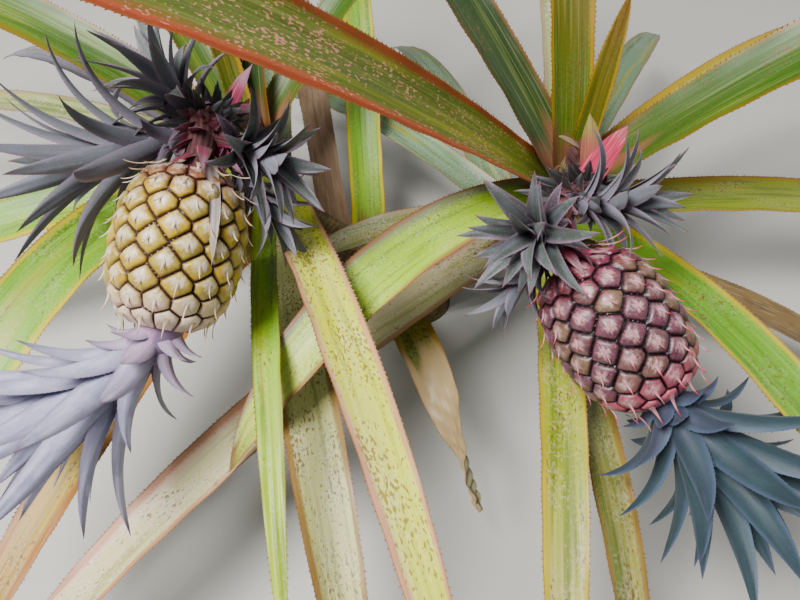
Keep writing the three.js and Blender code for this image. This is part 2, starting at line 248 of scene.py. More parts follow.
class Paint:
    """A procedural material in the making: patterns, then tints, then the surface."""

    def __init__(self, name: str) -> None:
        """Starts an empty material.

        Args:
            name: the material's name.
        """
        self.material = bpy.data.materials.new(name)
        self.material.use_nodes = True
        self.tree = self.material.node_tree
        self.tree.nodes.clear()
        self.patterns: dict[str, bpy.types.NodeSocket] = {}

    def read_places(self) -> None:
        """Reads the two places that each mesh carries: on its form, and in millimetres."""
        for name, parts in (("form", ("across", "share", "face")), ("grain", ("", "", "own"))):
            place = add_node(self.tree, "ShaderNodeAttribute", {"attribute_name": name})
            apart = add_node(
                self.tree, "ShaderNodeSeparateXYZ", inputs={0: place.outputs["Vector"]}
            )
            self.patterns[name] = place.outputs["Vector"]
            self.patterns.update({k: v for k, v in zip(parts, apart.outputs) if k})

    def grow_grains(self, grains: dict[str, Grain]) -> None:
        """Adds noise patterns at real spacings.

        Args:
            grains: the spacing of each pattern, by name.
        """
        for name, grain in grains.items():
            scaled = add_node(
                self.tree,
                "ShaderNodeVectorMath",
                {"operation": "MULTIPLY"},
                {0: self.patterns["grain"], 1: (1 / grain.across, 1 / grain.along, 1.0)},
            )
            noise = add_node(
                self.tree,
                "ShaderNodeTexNoise",
                {"noise_dimensions": "3D"},
                {"Vector": scaled.outputs[0], "Scale": 1.0, "Detail": grain.detail},
            )
            self.patterns[name] = noise.outputs["Fac"]

    def work_out(self, name: str, operation: str, *terms: str | float) -> None:
        """Makes a pattern from others by one operation.

        Args:
            name: the new pattern's name.
            operation: the kind of sum.
            terms: patterns by name, or numbers.
        """
        inputs = {i: self.patterns[t] if isinstance(t, str) else t for i, t in enumerate(terms)}
        worked = add_node(self.tree, "ShaderNodeMath", {"operation": operation}, inputs)
        self.patterns[name] = worked.outputs[0]

    def lay_tints(self, ground: str, tints: list[Tint]) -> bpy.types.NodeSocket:
        """Lays tints over a ground colour, in order.

        Args:
            ground: the colour under them all.
            tints: the colours and where each one shows.

        Returns:
            The socket with the mixed colour.
        """
        colour: object = pigment(ground)
        for tint in tints:
            mask = add_node(
                self.tree,
                "ShaderNodeMapRange",
                {"interpolation_type": "SMOOTHSTEP"},
                {
                    0: self.patterns[tint.pattern],
                    1: tint.low,
                    2: tint.high,
                    3: 0.0,
                    4: tint.strength,
                },
            )
            mixed = add_node(
                self.tree,
                "ShaderNodeMix",
                {"data_type": "RGBA"},
                {0: mask.outputs[0], 6: colour, 7: pigment(tint.colour)},
            )
            colour = mixed.outputs[2]
        return colour

    def finish(self, colour: bpy.types.NodeSocket, surface: Surface) -> bpy.types.Material:
        """Closes the material with its shader.

        Args:
            colour: the mixed colour.
            surface: how it takes the light.

        Returns:
            The finished material.
        """
        relief = add_node(
            self.tree,
            "ShaderNodeBump",
            inputs={
                "Strength": 1.0,
                "Distance": surface.relief_depth * MILLIMETRE,
                "Height": self.patterns[surface.relief],
            },
        )
        rough = add_node(
            self.tree,
            "ShaderNodeMapRange",
            inputs={
                0: self.patterns[surface.relief],
                3: surface.roughness - 0.08,
                4: surface.roughness + 0.1,
            },
        )
        shader = add_node(
            self.tree,
            "ShaderNodeBsdfPrincipled",
            inputs={
                "Base Color": colour,
                "Roughness": rough.outputs[0],
                "Normal": relief.outputs[0],
                "IOR": surface.ior,
                "Coat Weight": surface.coat,
                "Coat Roughness": 0.3,
                "Sheen Weight": surface.sheen,
                "Sheen Roughness": 0.5,
                "Subsurface Weight": surface.glow,
                "Subsurface Radius": (1.0, 1.0, 0.4),
                "Subsurface Scale": 2 * MILLIMETRE,
            },
        )
        add_node(self.tree, "ShaderNodeOutputMaterial", inputs={0: shader.outputs[0]})
        return self.material


@dataclass(frozen=True)
class LeafCuticle:
    """Living leaf of the rosette, grown: a waxy cuticle over long parallel veins.

    The wax gives a satin gloss, the veins fine streaks, and old age yellow and red margins with
    brown flecks. A mealy bloom dulls it in patches and greys its underside.

    Attributes:
        name: the finish's name.
        root, middle, far: the blade's colours from root to tip.
        margin: the colour of the narrow band along both edges.
        margin_share: how much of the half width that band takes.
        flank: the colour of one broad flank; on the channelled finish it is painted shade on the shaded
            half of the channel.
        flank_side: the side that it lies on.
        flank_share: how much of the half width the flank takes, or nothing.
        fleck: the colour of the flecks.
        fleck_share: how thick they lie, from 0 to 1.
        bloom: how strong the mealy bloom is, from 0 to 1.
        bloom_colour: its colour.
        dry_from: the share of the length where the tip begins to dry.
        dry: the colour of the dry tip.
        base: the colour of the clasping base.
        streak: the colour of the streaks between the veins.
        band: the colour of the broad pale bands.
    """

    name: str
    root: str
    middle: str
    far: str
    margin: str = "#a99a35"
    margin_share: float = 0.1
    flank: str = "#a99a35"
    flank_side: Side = Side.LEFT
    flank_share: float = 0.0
    fleck: str = "#6f4d22"
    fleck_share: float = 0.3
    bloom: float = 0.25
    bloom_colour: str = "#b9b49a"
    dry_from: float = 0.93
    dry: str = "#8a6a45"
    base: str = "#8f5f4e"
    streak: str = "#4f6a1a"
    band: str = "#b9b044"

    def material(self) -> bpy.types.Material:
        """Makes the finish.

        Returns:
            The material.
        """
        paint = Paint(self.name)
        paint.read_places()
        # The veins of a leaf are about 1 mm apart, and are drawn coarser so that they show.
        paint.grow_grains(
            {
                "veins": Grain(1.7, 120, 1),
                "streaks": Grain(6, 150, 3),
                "bands": Grain(16, 260, 2),
                "patches": Grain(24, 60, 3),
                "flecks": Grain(2.0, 4.5, 1),
                "meal": Grain(2.6, 2.6, 3),
            }
        )
        paint.work_out("edge", "ABSOLUTE", "across")
        paint.work_out("wander", "MULTIPLY_ADD", "bands", 0.7, -0.37)
        paint.work_out("ragged", "MULTIPLY_ADD", "meal", 0.16, "wander")
        paint.work_out("margin", "ADD", "edge", "ragged")
        paint.work_out("flank", "MULTIPLY_ADD", "across", float(self.flank_side.value), "ragged")
        paint.work_out("way", "MULTIPLY_ADD", "wander", 0.5, "share")
        paint.work_out("crowding", "MULTIPLY_ADD", "patches", 0.5, "flecks")
        paint.work_out("mealy", "MULTIPLY_ADD", "patches", 0.6, "meal")
        margin_from = 1 - self.margin_share
        flank_from = 1 - self.flank_share
        flank_strength = 0.9 * (self.flank_share > 0)
        fleck_from = 0.98 - 0.22 * self.fleck_share
        tints = [
            Tint("way", 0.34, 0.02, 1.0, self.root),
            Tint("way", 0.5, 0.9, 1.0, self.far),
            Tint("streaks", 0.48, 0.64, 0.62, self.streak),
            Tint("bands", 0.52, 0.66, 0.5, self.band),
            Tint("veins", 0.5, 0.72, 0.13, "#d3d68c"),
            # A broad flank in its own colour; on the channelled finish this grey flank is painted
            # shade.
            Tint("flank", flank_from - 0.1, flank_from + 0.25, flank_strength, self.flank),
            Tint("mealy", 0.78, 0.98, self.bloom, self.bloom_colour),
            Tint("crowding", fleck_from, fleck_from + 0.06, 0.75, self.fleck),
            Tint("margin", margin_from - 0.12, margin_from + 0.05, 0.92, self.margin),
            Tint("way", 0.085, 0.01, 0.8, self.base),
            Tint("way", self.dry_from - 0.02, self.dry_from + 0.05, 0.9, self.dry),
            # The underside is greyed by its scales, and the spines end in hard brown points.
            Tint("face", 0.7, 0.3, 0.6, "#8f9a7c"),
            Tint("edge", 0.93, 0.985, 0.6, "#8f5230"),
            Tint("edge", 1.06, 1.2, 0.8, "#6b2c1c"),
        ]
        colour = paint.lay_tints(self.middle, tints)
        return paint.finish(colour, Surface(0.46, "veins", 0.25, coat=0.05, glow=0.05))


@dataclass(frozen=True)
class MealyCuticle:
    """Young leaf of crowns and slips, grown: a dull bloom of pale scales over green or purple.

    The bloom scatters light, so the leaf looks powdery, pale along its back and bluish or lilac.

    Attributes:
        name: the finish's name.
        inner: a darker colour near the core, painted shade where the leaves crowd.
        blade: the blade's own colour.
        edge: the colour along the margins.
        tip: the colour of the point.
        scale: the colour of the shortest, outermost leaves.
        shade: a darker colour laid as painted shade in cloudy patches, and also drawn in the streaks.
        meal: the colour of the bloom.
    """

    name: str
    inner: str
    blade: str
    edge: str
    tip: str
    scale: str
    shade: str
    meal: str

    def material(self) -> bpy.types.Material:
        """Makes the finish.

        Returns:
            The material.
        """
        paint = Paint(self.name)
        paint.read_places()
        # The scales of the bloom are too fine to see apart, and are drawn as coarse as meal.
        paint.grow_grains(
            {
                "veins": Grain(1.3, 50, 1),
                "streaks": Grain(3.5, 60, 2),
                "meal": Grain(1.4, 1.8, 2),
                "clouds": Grain(11, 26, 2),
            }
        )
        paint.work_out("edge", "ABSOLUTE", "across")
        paint.work_out("ragged", "MULTIPLY_ADD", "meal", 0.2, "edge")
        paint.work_out("youth", "FRACT", "own")
        tints = [
            # Painted shade: darker cloudy patches in the shade colour.
            Tint("clouds", 0.38, 0.6, 0.75, self.shade),
            # Painted shade: the inner colour darkens the leaves near the core, where they crowd.
            Tint("share", 0.38, 0.05, 0.8, self.inner),
            Tint("youth", 0.35, 0.15, 0.9, self.scale),
            Tint("streaks", 0.48, 0.66, 0.35, self.shade),
            Tint("meal", 0.5, 0.75, 0.25, self.meal),
            Tint("ragged", 0.62, 1.06, 0.8, self.edge),
            Tint("face", 0.7, 0.3, 0.3, self.meal),
            Tint("share", 0.86, 1.0, 0.8, self.tip),
        ]
        colour = paint.lay_tints(self.blade, tints)
        return paint.finish(colour, Surface(0.58, "veins", 0.16, sheen=0.06, glow=0.03))


@dataclass(frozen=True)
class FruitRind:
    """Rind of a pineapple, grown: waxy eyes with sunken dark joints and a pale star on each.

    The wax gives a soft gloss, and the dry bract on each eye a pale chalky patch with brown rays.

    Attributes:
        name: the finish's name.
        eye: the colour of the eyes.
        other_eye: the colour of the eyes that ripen first or last.
        rim: the colour near each eye's rim.
        joint: the colour of the grooves.
        groove: how wide the grooves look, from 0 to 1.
        star: the colour of the star.
        foot: the colour near the stalk.
        head: the colour near the crown.
    """

    name: str
    eye: str
    other_eye: str
    rim: str
    joint: str
    groove: float
    star: str
    foot: str
    head: str

    def material(self) -> bpy.types.Material:
        """Makes the finish.

        Returns:
            The material.
        """
        paint = Paint(self.name)
        paint.read_places()
        # The pores of the rind are a few tenths of a millimetre wide, and are drawn coarser.
        paint.grow_grains(
            {
                "pores": Grain(1.1, 1.1, 2),
                "stains": Grain(6, 6, 3),
                "scuffs": Grain(1.6, 3.6, 3),
            }
        )
        paint.work_out("ripe", "FRACT", "own")
        paint.work_out("ray", "MULTIPLY_ADD", "scuffs", 1.3, "face")
        paint.work_out("cleft", "MULTIPLY_ADD", "stains", -0.3, "across")
        paint.work_out("way", "MULTIPLY_ADD", "stains", 0.12, "share")
        tints = [
            Tint("ripe", 0.35, 0.75, 0.8, self.other_eye),
            Tint("stains", 0.42, 0.66, 0.55, self.rim),
            Tint("across", 0.95, 0.6, 0.75, self.rim),
            Tint("way", 0.3, 0.08, 0.8, self.foot),
            Tint("way", 0.8, 0.98, 0.8, self.head),
            Tint("ray", 0.85, 1.6, 0.85, self.star),
            Tint("pores", 0.55, 0.75, 0.25, self.star),
            Tint("scuffs", 0.56, 0.68, 0.4, self.rim),
            Tint("cleft", 0.62 * self.groove, 0.15 * self.groove, 0.97, self.joint),
        ]
        colour = paint.lay_tints(self.eye, tints)
        return paint.finish(colour, Surface(0.4, "pores", 0.35, coat=0.2, glow=0.05))


@dataclass(frozen=True)
class Papery:
    """Bract or dead leaf, dried on the plant: thin, matt and fibrous.

    Attributes:
        name: the finish's name.
        root: the colour where it grows on.
        blade: the colour of the blade.
        tip: the colour of the point.
        fibre: the colour of the fibres.
        tip_from: the share of the length where the tip's colour begins.
    """

    name: str
    root: str
    blade: str
    tip: str
    fibre: str
    tip_from: float = 0.6

    def material(self) -> bpy.types.Material:
        """Makes the finish.

        Returns:
            The material.
        """
        paint = Paint(self.name)
        paint.read_places()
        # The fibres are finer than half a millimetre, and are drawn coarser so that they show.
        paint.grow_grains(
            {
                "fibres": Grain(1.2, 45, 2),
                "streaks": Grain(5, 90, 3),
                "stains": Grain(14, 40, 4),
                "specks": Grain(2.2, 3.5, 2),
            }
        )
        paint.work_out("edge", "ABSOLUTE", "across")
        paint.work_out("way", "MULTIPLY_ADD", "stains", 0.2, "share")
        tints = [
            Tint("way", 0.5, 0.1, 0.9, self.root),
            Tint("way", self.tip_from + 0.05, self.tip_from + 0.35, 0.9, self.tip),
            Tint("stains", 0.45, 0.68, 0.5, self.fibre),
            Tint("streaks", 0.5, 0.66, 0.5, self.fibre),
            Tint("fibres", 0.55, 0.72, 0.4, "#dccaa5"),
            Tint("specks", 0.62, 0.72, 0.4, self.fibre),
        ]
        colour = paint.lay_tints(self.blade, tints)
        return paint.finish(colour, Surface(0.72, "fibres", 0.4, sheen=0.1))


@dataclass(frozen=True)
class StemRind:
    """Stem and stalk, grown: a fibrous rind with darker leaf scars and pale corky flecks."""

    name: str
    ground: str
    scar: str
    cork: str

    def material(self) -> bpy.types.Material:
        """Makes the finish.

        Returns:
            The material.
        """
        paint = Paint(self.name)
        paint.read_places()
        # The fibres are finer than half a millimetre, and are drawn coarser so that they show.
        paint.grow_grains(
            {
                "fibres": Grain(1.4, 26, 3),
                "stains": Grain(18, 24, 4),
                "cork": Grain(3.2, 3.2, 3),
            }
        )
        tints = [
            Tint("stains", 0.42, 0.66, 0.6, self.scar),
            Tint("face", 0.55, 0.1, 0.85, self.scar),
            Tint("fibres", 0.52, 0.7, 0.45, self.cork),
            Tint("cork", 0.6, 0.72, 0.5, self.cork),
        ]
        colour = paint.lay_tints(self.ground, tints)
        return paint.finish(colour, Surface(0.82, "fibres", 0.8))


@dataclass(frozen=True)
class StudioPaper:
    """Seamless backdrop paper, rolled: matt, with a faint tooth."""

    name: str = "seamless backdrop paper"
    tone: str = "#d3d1ca"

    def material(self) -> bpy.types.Material:
        """Makes the finish.

        Returns:
            The material.
        """
        paint = Paint(self.name)
        place = add_node(paint.tree, "ShaderNodeTexCoord")
        paint.patterns["grain"] = place.outputs["Object"]
        # The floor's places are in metres. The paper's tooth is far finer, and is drawn 4 mm wide.
        paint.grow_grains({"tooth": Grain(0.004, 0.004), "cast": Grain(0.6, 0.6)})
        colour = paint.lay_tints(self.tone, [Tint("cast", 0.3, 0.7, 0.3, "#d6d4ce")])
        return paint.finish(colour, Surface(0.9, "tooth", 0.05))


# Meshes


class Shell:
    """Closed bodies gathered for one piece, with the places that its materials read."""

    def __init__(self) -> None:
        """Starts with no body."""
        self.points: list[np.ndarray] = []
        self.forms: list[np.ndarray] = []
        self.grains: list[np.ndarray] = []
        self.faces: list[np.ndarray] = []
        self.count = 0

    def add(
        self, points: np.ndarray, faces: list[np.ndarray], form: np.ndarray, grain: np.ndarray
    ) -> None:
        """Adds closed bodies, with their faces turned outwards.

        Args:
            points: the places of their corners, in millimetres.
            faces: arrays of triangles or quads, by corner.
            form: across, share and face of each corner.
            grain: millimetres across and along, and a number of its own, for each corner.
        """
        fans = [f[:, [0, i, i + 1]] for f in faces for i in range(1, f.shape[1] - 1)]
        a, b, c = (points[np.concatenate(fans)][:, k] for k in range(3))
        inside_out = np.einsum("ij,ij->i", a, np.cross(b, c)).sum() < 0
        for f in faces:
            self.faces.append((f[:, ::-1] if inside_out else f) + self.count)
        self.points.append(points)
        self.forms.append(form)
        self.grains.append(grain)
        self.count += len(points)

    def loft(
        self,
        rings: np.ndarray,
        form: np.ndarray,
        grain: np.ndarray,
        tip: np.ndarray | None = None,
    ) -> None:
        """Adds one body through closed rings of corners.

        Args:
            rings: the rings, as steps by corners by three.
            form: what the corners carry as form, in the same shape.
            grain: what they carry as grain, in the same shape.
            tip: the point that closes the last ring, or its middle.
        """
        steps, sides = rings.shape[:2]
        corner = np.arange(sides)
        following = (corner + 1) % sides
        band = np.stack([corner, following, sides + following, sides + corner], 1)
        quads = [j * sides + band for j in range(steps - 1)]
        first = steps * sides
        last = first + 1
        end = (steps - 1) * sides
        feet = np.stack([following, corner, np.full(sides, first)], 1)
        tips = np.stack([end + corner, end + following, np.full(sides, last)], 1)
        ends = [rings[0].mean(0), rings[-1].mean(0) if tip is None else tip]
        self.add(
            np.concatenate([rings.reshape(-1, 3), ends]),
            [np.concatenate(quads), np.concatenate([feet, tips])],
            np.concatenate([form.reshape(-1, 3), [form[0].mean(0), form[-1].mean(0)]]),
            np.concatenate([grain.reshape(-1, 3), [grain[0].mean(0), grain[-1].mean(0)]]),
        )

    def piece(
        self, name: str, material: bpy.types.Material, slot: str, nodes: tuple[str, ...] = ()
    ) -> None:
        """Makes the gathered bodies into one piece of the plant.

        Args:
            name: the piece's name.
            material: its finish.
            slot: the record's slot for that finish; not used.
            nodes: the solids that it stands for.
        """
        mesh = bpy.data.meshes.new(name)
        faces = [face for block in self.faces for face in block.tolist()]
        mesh.from_pydata((np.concatenate(self.points) * MILLIMETRE).tolist(), [], faces)
        for title, values in (("form", self.forms), ("grain", self.grains)):
            layer = mesh.attributes.new(title, "FLOAT_VECTOR", "POINT")
            layer.data.foreach_set("vector", np.concatenate(values).astype(np.float32).ravel())
        mesh.shade_smooth()
        mesh.set_sharp_from_angle(angle=math.radians(SHARP_ANGLE))
        mesh.materials.append(material)
        made = bpy.data.objects.new(name, mesh)
        bpy.context.scene.collection.objects.link(made)
        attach(made, BODY)
        if nodes:
            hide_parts(*nodes)
        LOG.info("%s: %d faces", name, len(mesh.polygons))


class Line:
    """A smooth line in space, read by the share of its length."""

    def __init__(self, points: np.ndarray) -> None:
        """Measures the line.

        Args:
            points: close points along it.
        """
        self.points = points
        steps = np.linalg.norm(np.diff(points, axis=0), axis=1)
        self.length = float(steps.sum())
        self.shares = np.concatenate([[0.0], np.cumsum(steps)]) / self.length

    @classmethod
    def arc(cls, *controls: tuple[float, float, float]) -> "Line":
        """Draws a Bezier curve.

        Args:
            controls: its three or four control points.

        Returns:
            The line.
        """
        t = np.linspace(0, 1, ARC_POINTS)[:, None]
        order = len(controls) - 1
        weights = [math.comb(order, i) * t**i * (1 - t) ** (order - i) for i in range(order + 1)]
        return cls(sum(w * np.array(c, float) for w, c in zip(weights, controls)))

    @classmethod
    def spline(cls, knots: np.ndarray) -> "Line":
        """Draws a centripetal curve through points.

        Args:
            knots: the points that it passes.

        Returns:
            The line.
        """
        held = np.concatenate([[2 * knots[0] - knots[1]], knots, [2 * knots[-1] - knots[-2]]])
        drawn = []
        for a, b, c, d in zip(held, held[1:], held[2:], held[3:]):
            spans = ((a, b), (b, c), (c, d))
            before, here, after = (np.linalg.norm(q - p) ** 0.5 for p, q in spans)
            start = ((b - a) / before - (c - a) / (before + here) + (c - b) / here) * here
            end = ((c - b) / here - (d - b) / (here + after) + (d - c) / after) * here
            t = np.linspace(0, 1, SPAN_POINTS, endpoint=False)[:, None]
            bend = -3 * b + 3 * c - 2 * start - end
            drawn.append(b + start * t + bend * t**2 + (2 * b - 2 * c + start + end) * t**3)
        return cls(np.concatenate([*drawn, [knots[-1]]]))

    def at(self, shares: np.ndarray | float) -> np.ndarray:
        """Returns the points at those shares of the length."""
        return np.stack([np.interp(shares, self.shares, self.points[:, k]) for k in range(3)], -1)

    def along(self, shares: np.ndarray | float) -> np.ndarray:
        """Finds directions along the line.

        Args:
            shares: shares of its length.

        Returns:
            The directions there, at length one.
        """
        near = 0.004
        low = np.clip(np.asarray(shares) - near, 0, 1 - 2 * near)
        return unit(self.at(low + 2 * near) - self.at(low))

    def frames(self, steps: int) -> tuple[np.ndarray, np.ndarray, np.ndarray]:
        """Carries a frame along the line without twist.

        Args:
            steps: how many steps it takes.

        Returns:
            Two directions across and the direction along, at each step.
        """
        along = self.along(np.linspace(0, 1, steps + 1))
        lowest = np.zeros(3)
        lowest[int(np.argmin(np.abs(along[0])))] = 1
        across = [np.cross(along[0], unit(np.cross(along[0], lowest)))]
        for i in range(steps):
            carried = across[-1] - along[i + 1] * (across[-1] @ along[i + 1])
            across.append(unit(carried))
        normals = np.array(across)
        return normals, np.cross(along, normals), along


@dataclass(frozen=True)
class Spines:
    """The hooked spines along a blade's margins: their spacing and their reach."""

    spacing: float
    reach: float


LEAF_SPINES = Spines(4.8, 2.1)
BRACT_SPINES = Spines(3.6, 1.5)
SCALE_SPINES = Spines(3.2, 1.2)
TUFT_SPINES = Spines(3.4, 1.2)


@dataclass
class Blade:
    """One leaf, scale or bract, by the rule that the solids follow.

    Attributes:
        root: where it grows on.
        heading, rise: its direction at the root.
        droop, sweep: how far it bends down and sideways to its tip.
        length, width, thickness: its size.
        sheath: how much wider its clasping base is.
        point: the power of its taper.
        channel, opening: the radius of its gutter, and how it opens, in widths.
        fold: how sharply it is creased along its middle.
        roll: how far its face turns, most of it near the root.
        twist: how far it turns over to its tip.
        wave: how far its margins undulate.
        wither: where it begins to shrivel, as a share of its length.
        own: a number of its own, for its patterns.
    """

    root: np.ndarray
    heading: float
    rise: float
    droop: float
    length: float
    width: float
    sweep: float = 0.0
    thickness: float = 2.4
    sheath: float = 0.22
    point: float = 3.0
    channel: float = 0.62
    opening: float = 0.75
    fold: float = 0.0
    roll: float = 0.0
    twist: float = 0.0
    wave: float = 1.0
    wither: float = 1.0
    own: float = 0.0

    def axes(self, shares: np.ndarray) -> tuple[np.ndarray, np.ndarray, np.ndarray]:
        """Finds how the blade lies.

        Args:
            shares: shares of its length.

        Returns:
            The directions along it, across it and out of it.
        """
        bend = shares**BEND_POWER
        heading = np.radians(self.heading + self.sweep * bend)
        climb = np.radians(self.rise - self.droop * bend)
        level = np.zeros_like(shares)
        outward = np.stack([np.cos(heading), np.sin(heading), level], -1)
        along = outward * np.cos(climb)[:, None] + UP * np.sin(climb)[:, None]
        side = np.stack([-np.sin(heading), np.cos(heading), level], -1)
        face = np.cross(along, side)
        roll = self.roll * (1 - (1 - shares) ** ROLL_POWER) + self.twist * shares**2
        roll = np.radians(roll + SHRIVEL_TURN * self.shrivelled(shares) ** 1.3)[:, None]
        turned = side * np.cos(roll) + face * np.sin(roll)
        return along, turned, face * np.cos(roll) - side * np.sin(roll)

    def shrivelled(self, shares: np.ndarray) -> np.ndarray:
        """Returns how far the blade has shrivelled at those shares, from 0 to 1."""
        return np.clip((shares - self.wither) / max(1 - self.wither, 0.01), 0, 1)

    def surface(self, shares: np.ndarray, across: np.ndarray, lift: np.ndarray) -> np.ndarray:
        """Finds points of the blade.

        Args:
            shares: shares of its length.
            across: places across it, from -1 to 1, one row for each share.
            lift: heights over its middle surface, in the same shape.

        Returns:
            The points, as shares by places by three.
        """
        along = self.axes((np.arange(BLADE_POINTS) + 0.5) / BLADE_POINTS)[0]
        travelled = np.cumsum(along * self.length / BLADE_POINTS, 0)
        line = np.concatenate([[self.root], self.root + travelled])
        knots = np.linspace(0, 1, BLADE_POINTS + 1)
        middle = np.stack([np.interp(shares, knots, line[:, k]) for k in range(3)], -1)
        half = self.half_width(shares)[:, None]
        radius = self.width * (self.channel + self.opening * shares)[:, None]
        # A shrivelled tip curls into a narrow, crumpled gutter.
        shrivel = self.shrivelled(shares)[:, None]
        radius = radius * (1 - 0.72 * shrivel**0.7)
        angle = across * half / radius
        travel = (shares * self.length)[:, None]
        # The margins undulate in waves about 80 mm long, which swell and fade over about 200 mm.
        phase = 9 * self.own + 2.1 * np.sign(across)
        wave = self.wave * np.abs(across) ** 3 * np.sin(travel / 13 + phase)
        wave = wave * np.sin(travel / 31 + self.own)
        crumple = 3.5 * shrivel * np.sin(travel / 9 + 4 * across)
        wave += crumple + 2 * shrivel * np.sin(travel / 4 - 7 * across)
        ridge = RIB_HEIGHT * np.cos(across * half * 2 * math.pi / RIB_SPACING) * (1 - across**4)
        crease = self.fold * np.abs(across) * half
        ring = radius - (lift + wave + ridge + crease)
        _, side, face = (axis[:, None, :] for axis in self.axes(shares))
        return (
            middle[:, None, :]
            + side * (ring * np.sin(angle))[..., None]
            + face * (radius - ring * np.cos(angle))[..., None]
        )

    def half_width(self, shares: np.ndarray) -> np.ndarray:
        """Returns half the width there: a clasping sheath, an even blade, then a long point."""
        sheath = self.sheath * np.exp(-shares / SHEATH_SHARE)
        return self.width / 2 * (1 - shares**self.point + sheath * (1 - shares))

    def grow(
        self,
        shell: Shell,
        steps: int,
        panels: int,
        spines: Spines | None = None,
        place: tuple[np.ndarray, np.ndarray] | None = None,
    ) -> None:
        """Adds the blade to a shell.

        Args:
            shell: where it goes.
            steps: how many steps it takes along.
            panels: how many panels it has across each face.
            spines: the spines on its margins, or none.
            place: a turn, as rows of axes, and a shift, for a blade made in a frame of its own.
        """
        shares = np.linspace(0, 1, steps + 1)[:-1]
        over = np.linspace(-1, 1, panels + 1)
        across = np.concatenate([over, over[-2:0:-1]])
        upper = np.concatenate([np.ones(panels + 1), -np.ones(panels - 1)])
        upper[[0, panels]] = 0
        rows = np.broadcast_to(across, (steps, len(across)))
        body = (1 - EDGE_THINNING * rows**2) * self.thickness
        body = body * (1 - TIP_THINNING * shares[:, None]) / 2
        rings = self.surface(shares, rows, body * upper)
        tip = self.surface(np.ones(1), np.zeros((1, 1)), np.zeros((1, 1)))[0, 0]
        form = self.carried(rows, shares[:, None] + 0 * rows, (upper + 1) / 2 + 0 * rows)
        grain = self.carried(
            rows * self.half_width(shares)[:, None],
            shares[:, None] * self.length + 0 * rows,
            self.own + 0 * rows,
        )
        if place is not None:
            rings = rings @ place[0] + place[1]
            tip = tip @ place[0] + place[1]
        shell.loft(rings, form, grain, tip=tip)
        if spines is not None:
            self.arm(shell, spines, place)

    @staticmethod
    def carried(*parts: np.ndarray) -> np.ndarray:
        """Returns three arrays side by side, as what the corners carry."""
        return np.stack(parts, -1).astype(float)

    def arm(
        self, shell: Shell, spines: Spines, place: tuple[np.ndarray, np.ndarray] | None
    ) -> None:
        """Sets hooked spines along both margins, as small closed points.

        Args:
            shell: where they go.
            spines: their spacing and reach.
            place: the blade's turn and shift, or none.
        """
        count = max(3, int(self.length * SPINED_SHARE / spines.spacing))
        for edge in (-1.0, 1.0):
            chance = np.random.default_rng(int(self.own * 97) + 7)
            places = np.arange(count) + chance.uniform(-0.25, 0.25, count)
            shares = SPINES_FROM + SPINED_SHARE * places / count
            size = spines.reach * chance.uniform(0.7, 1.15, count) * (1 - 0.5 * shares)
            rim, within = (
                self.surface(shares, np.full((count, 1), edge * reach), np.zeros((count, 1)))[:, 0]
                for reach in (1.0, 0.9)
            )
            along, _, _ = self.axes(shares)
            out = unit(rim - within)
            up = np.cross(along, out)
            long, high = (size * SPINE_FOOT)[:, None], (size * SPINE_HEIGHT)[:, None]
            corners = [
                rim - along * long,
                rim + up * high,
                rim + along * long,
                rim - up * high,
                rim - out * high * 2,
                rim + out * size[:, None] + along * long * 1.3,
            ]
            points = np.stack(corners, 1)
            if place is not None:
                points = points @ place[0] + place[1]
            outer = [[i, (i + 1) % 4, 5] for i in range(4)]
            inner = [[(i + 1) % 4, i, 4] for i in range(4)]
            faces = (np.arange(count)[:, None, None] * 6 + np.array(outer + inner)).reshape(-1, 3)
            reach = edge * np.array([1.0, 1.0, 1.0, 1.0, 0.97, 1.3])
            form = self.carried(
                np.broadcast_to(reach, (count, 6)),
                np.repeat(shares[:, None], 6, 1),
                np.ones((count, 6)),
            )
            grain = self.carried(
                np.full((count, 6), edge * self.width / 2),
                np.repeat(shares[:, None] * self.length, 6, 1),
                np.full((count, 6), self.own),
            )
            shell.add(points.reshape(-1, 3), [faces], form.reshape(-1, 3), grain.reshape(-1, 3))


def limb(
    shell: Shell,
    line: Line,
    sides: int,
    steps: int,
    radius: Callable[[np.ndarray], np.ndarray],
    relief: Callable[[np.ndarray, np.ndarray], np.ndarray] | None = None,
    own: float = 0.0,
) -> None:
    """Adds a round limb along a line.

    Args:
        shell: where it goes.
        line: its middle.
        sides: how many sides it has.
        steps: how many steps it takes along.
        radius: its radius at a share of its length.
        relief: how far its rind stands out, by millimetres along and turns round, or none.
        own: a number of its own, for its patterns.
    """
    shares = np.linspace(0, 1, steps + 1)
    normals, binormals, _ = line.frames(steps)
    turns = np.arange(sides) / sides
    angle = 2 * math.pi * turns[None, :]
    travel = (shares * line.length)[:, None] + 0 * angle
    turned = turns[None, :] + 0 * travel
    proud = np.zeros_like(travel) if relief is None else relief(travel, turned)
    reach = radius(shares)[:, None] + proud
    rings = (
        line.at(shares)[:, None, :]
        + normals[:, None, :] * (reach * np.sin(angle))[..., None]
        - binormals[:, None, :] * (reach * np.cos(angle))[..., None]
    )
    scarred = smooth_step(-1.2, 1.0, proud)
    form = Blade.carried(turned, shares[:, None] + 0 * travel, scarred)
    around = radius(shares)[:, None] * 2 * (0.5 - np.abs(turns - 0.5))[None, :] * math.pi
    grain = Blade.carried(around, travel, own + 0 * travel)
    shell.loft(rings, form, grain)


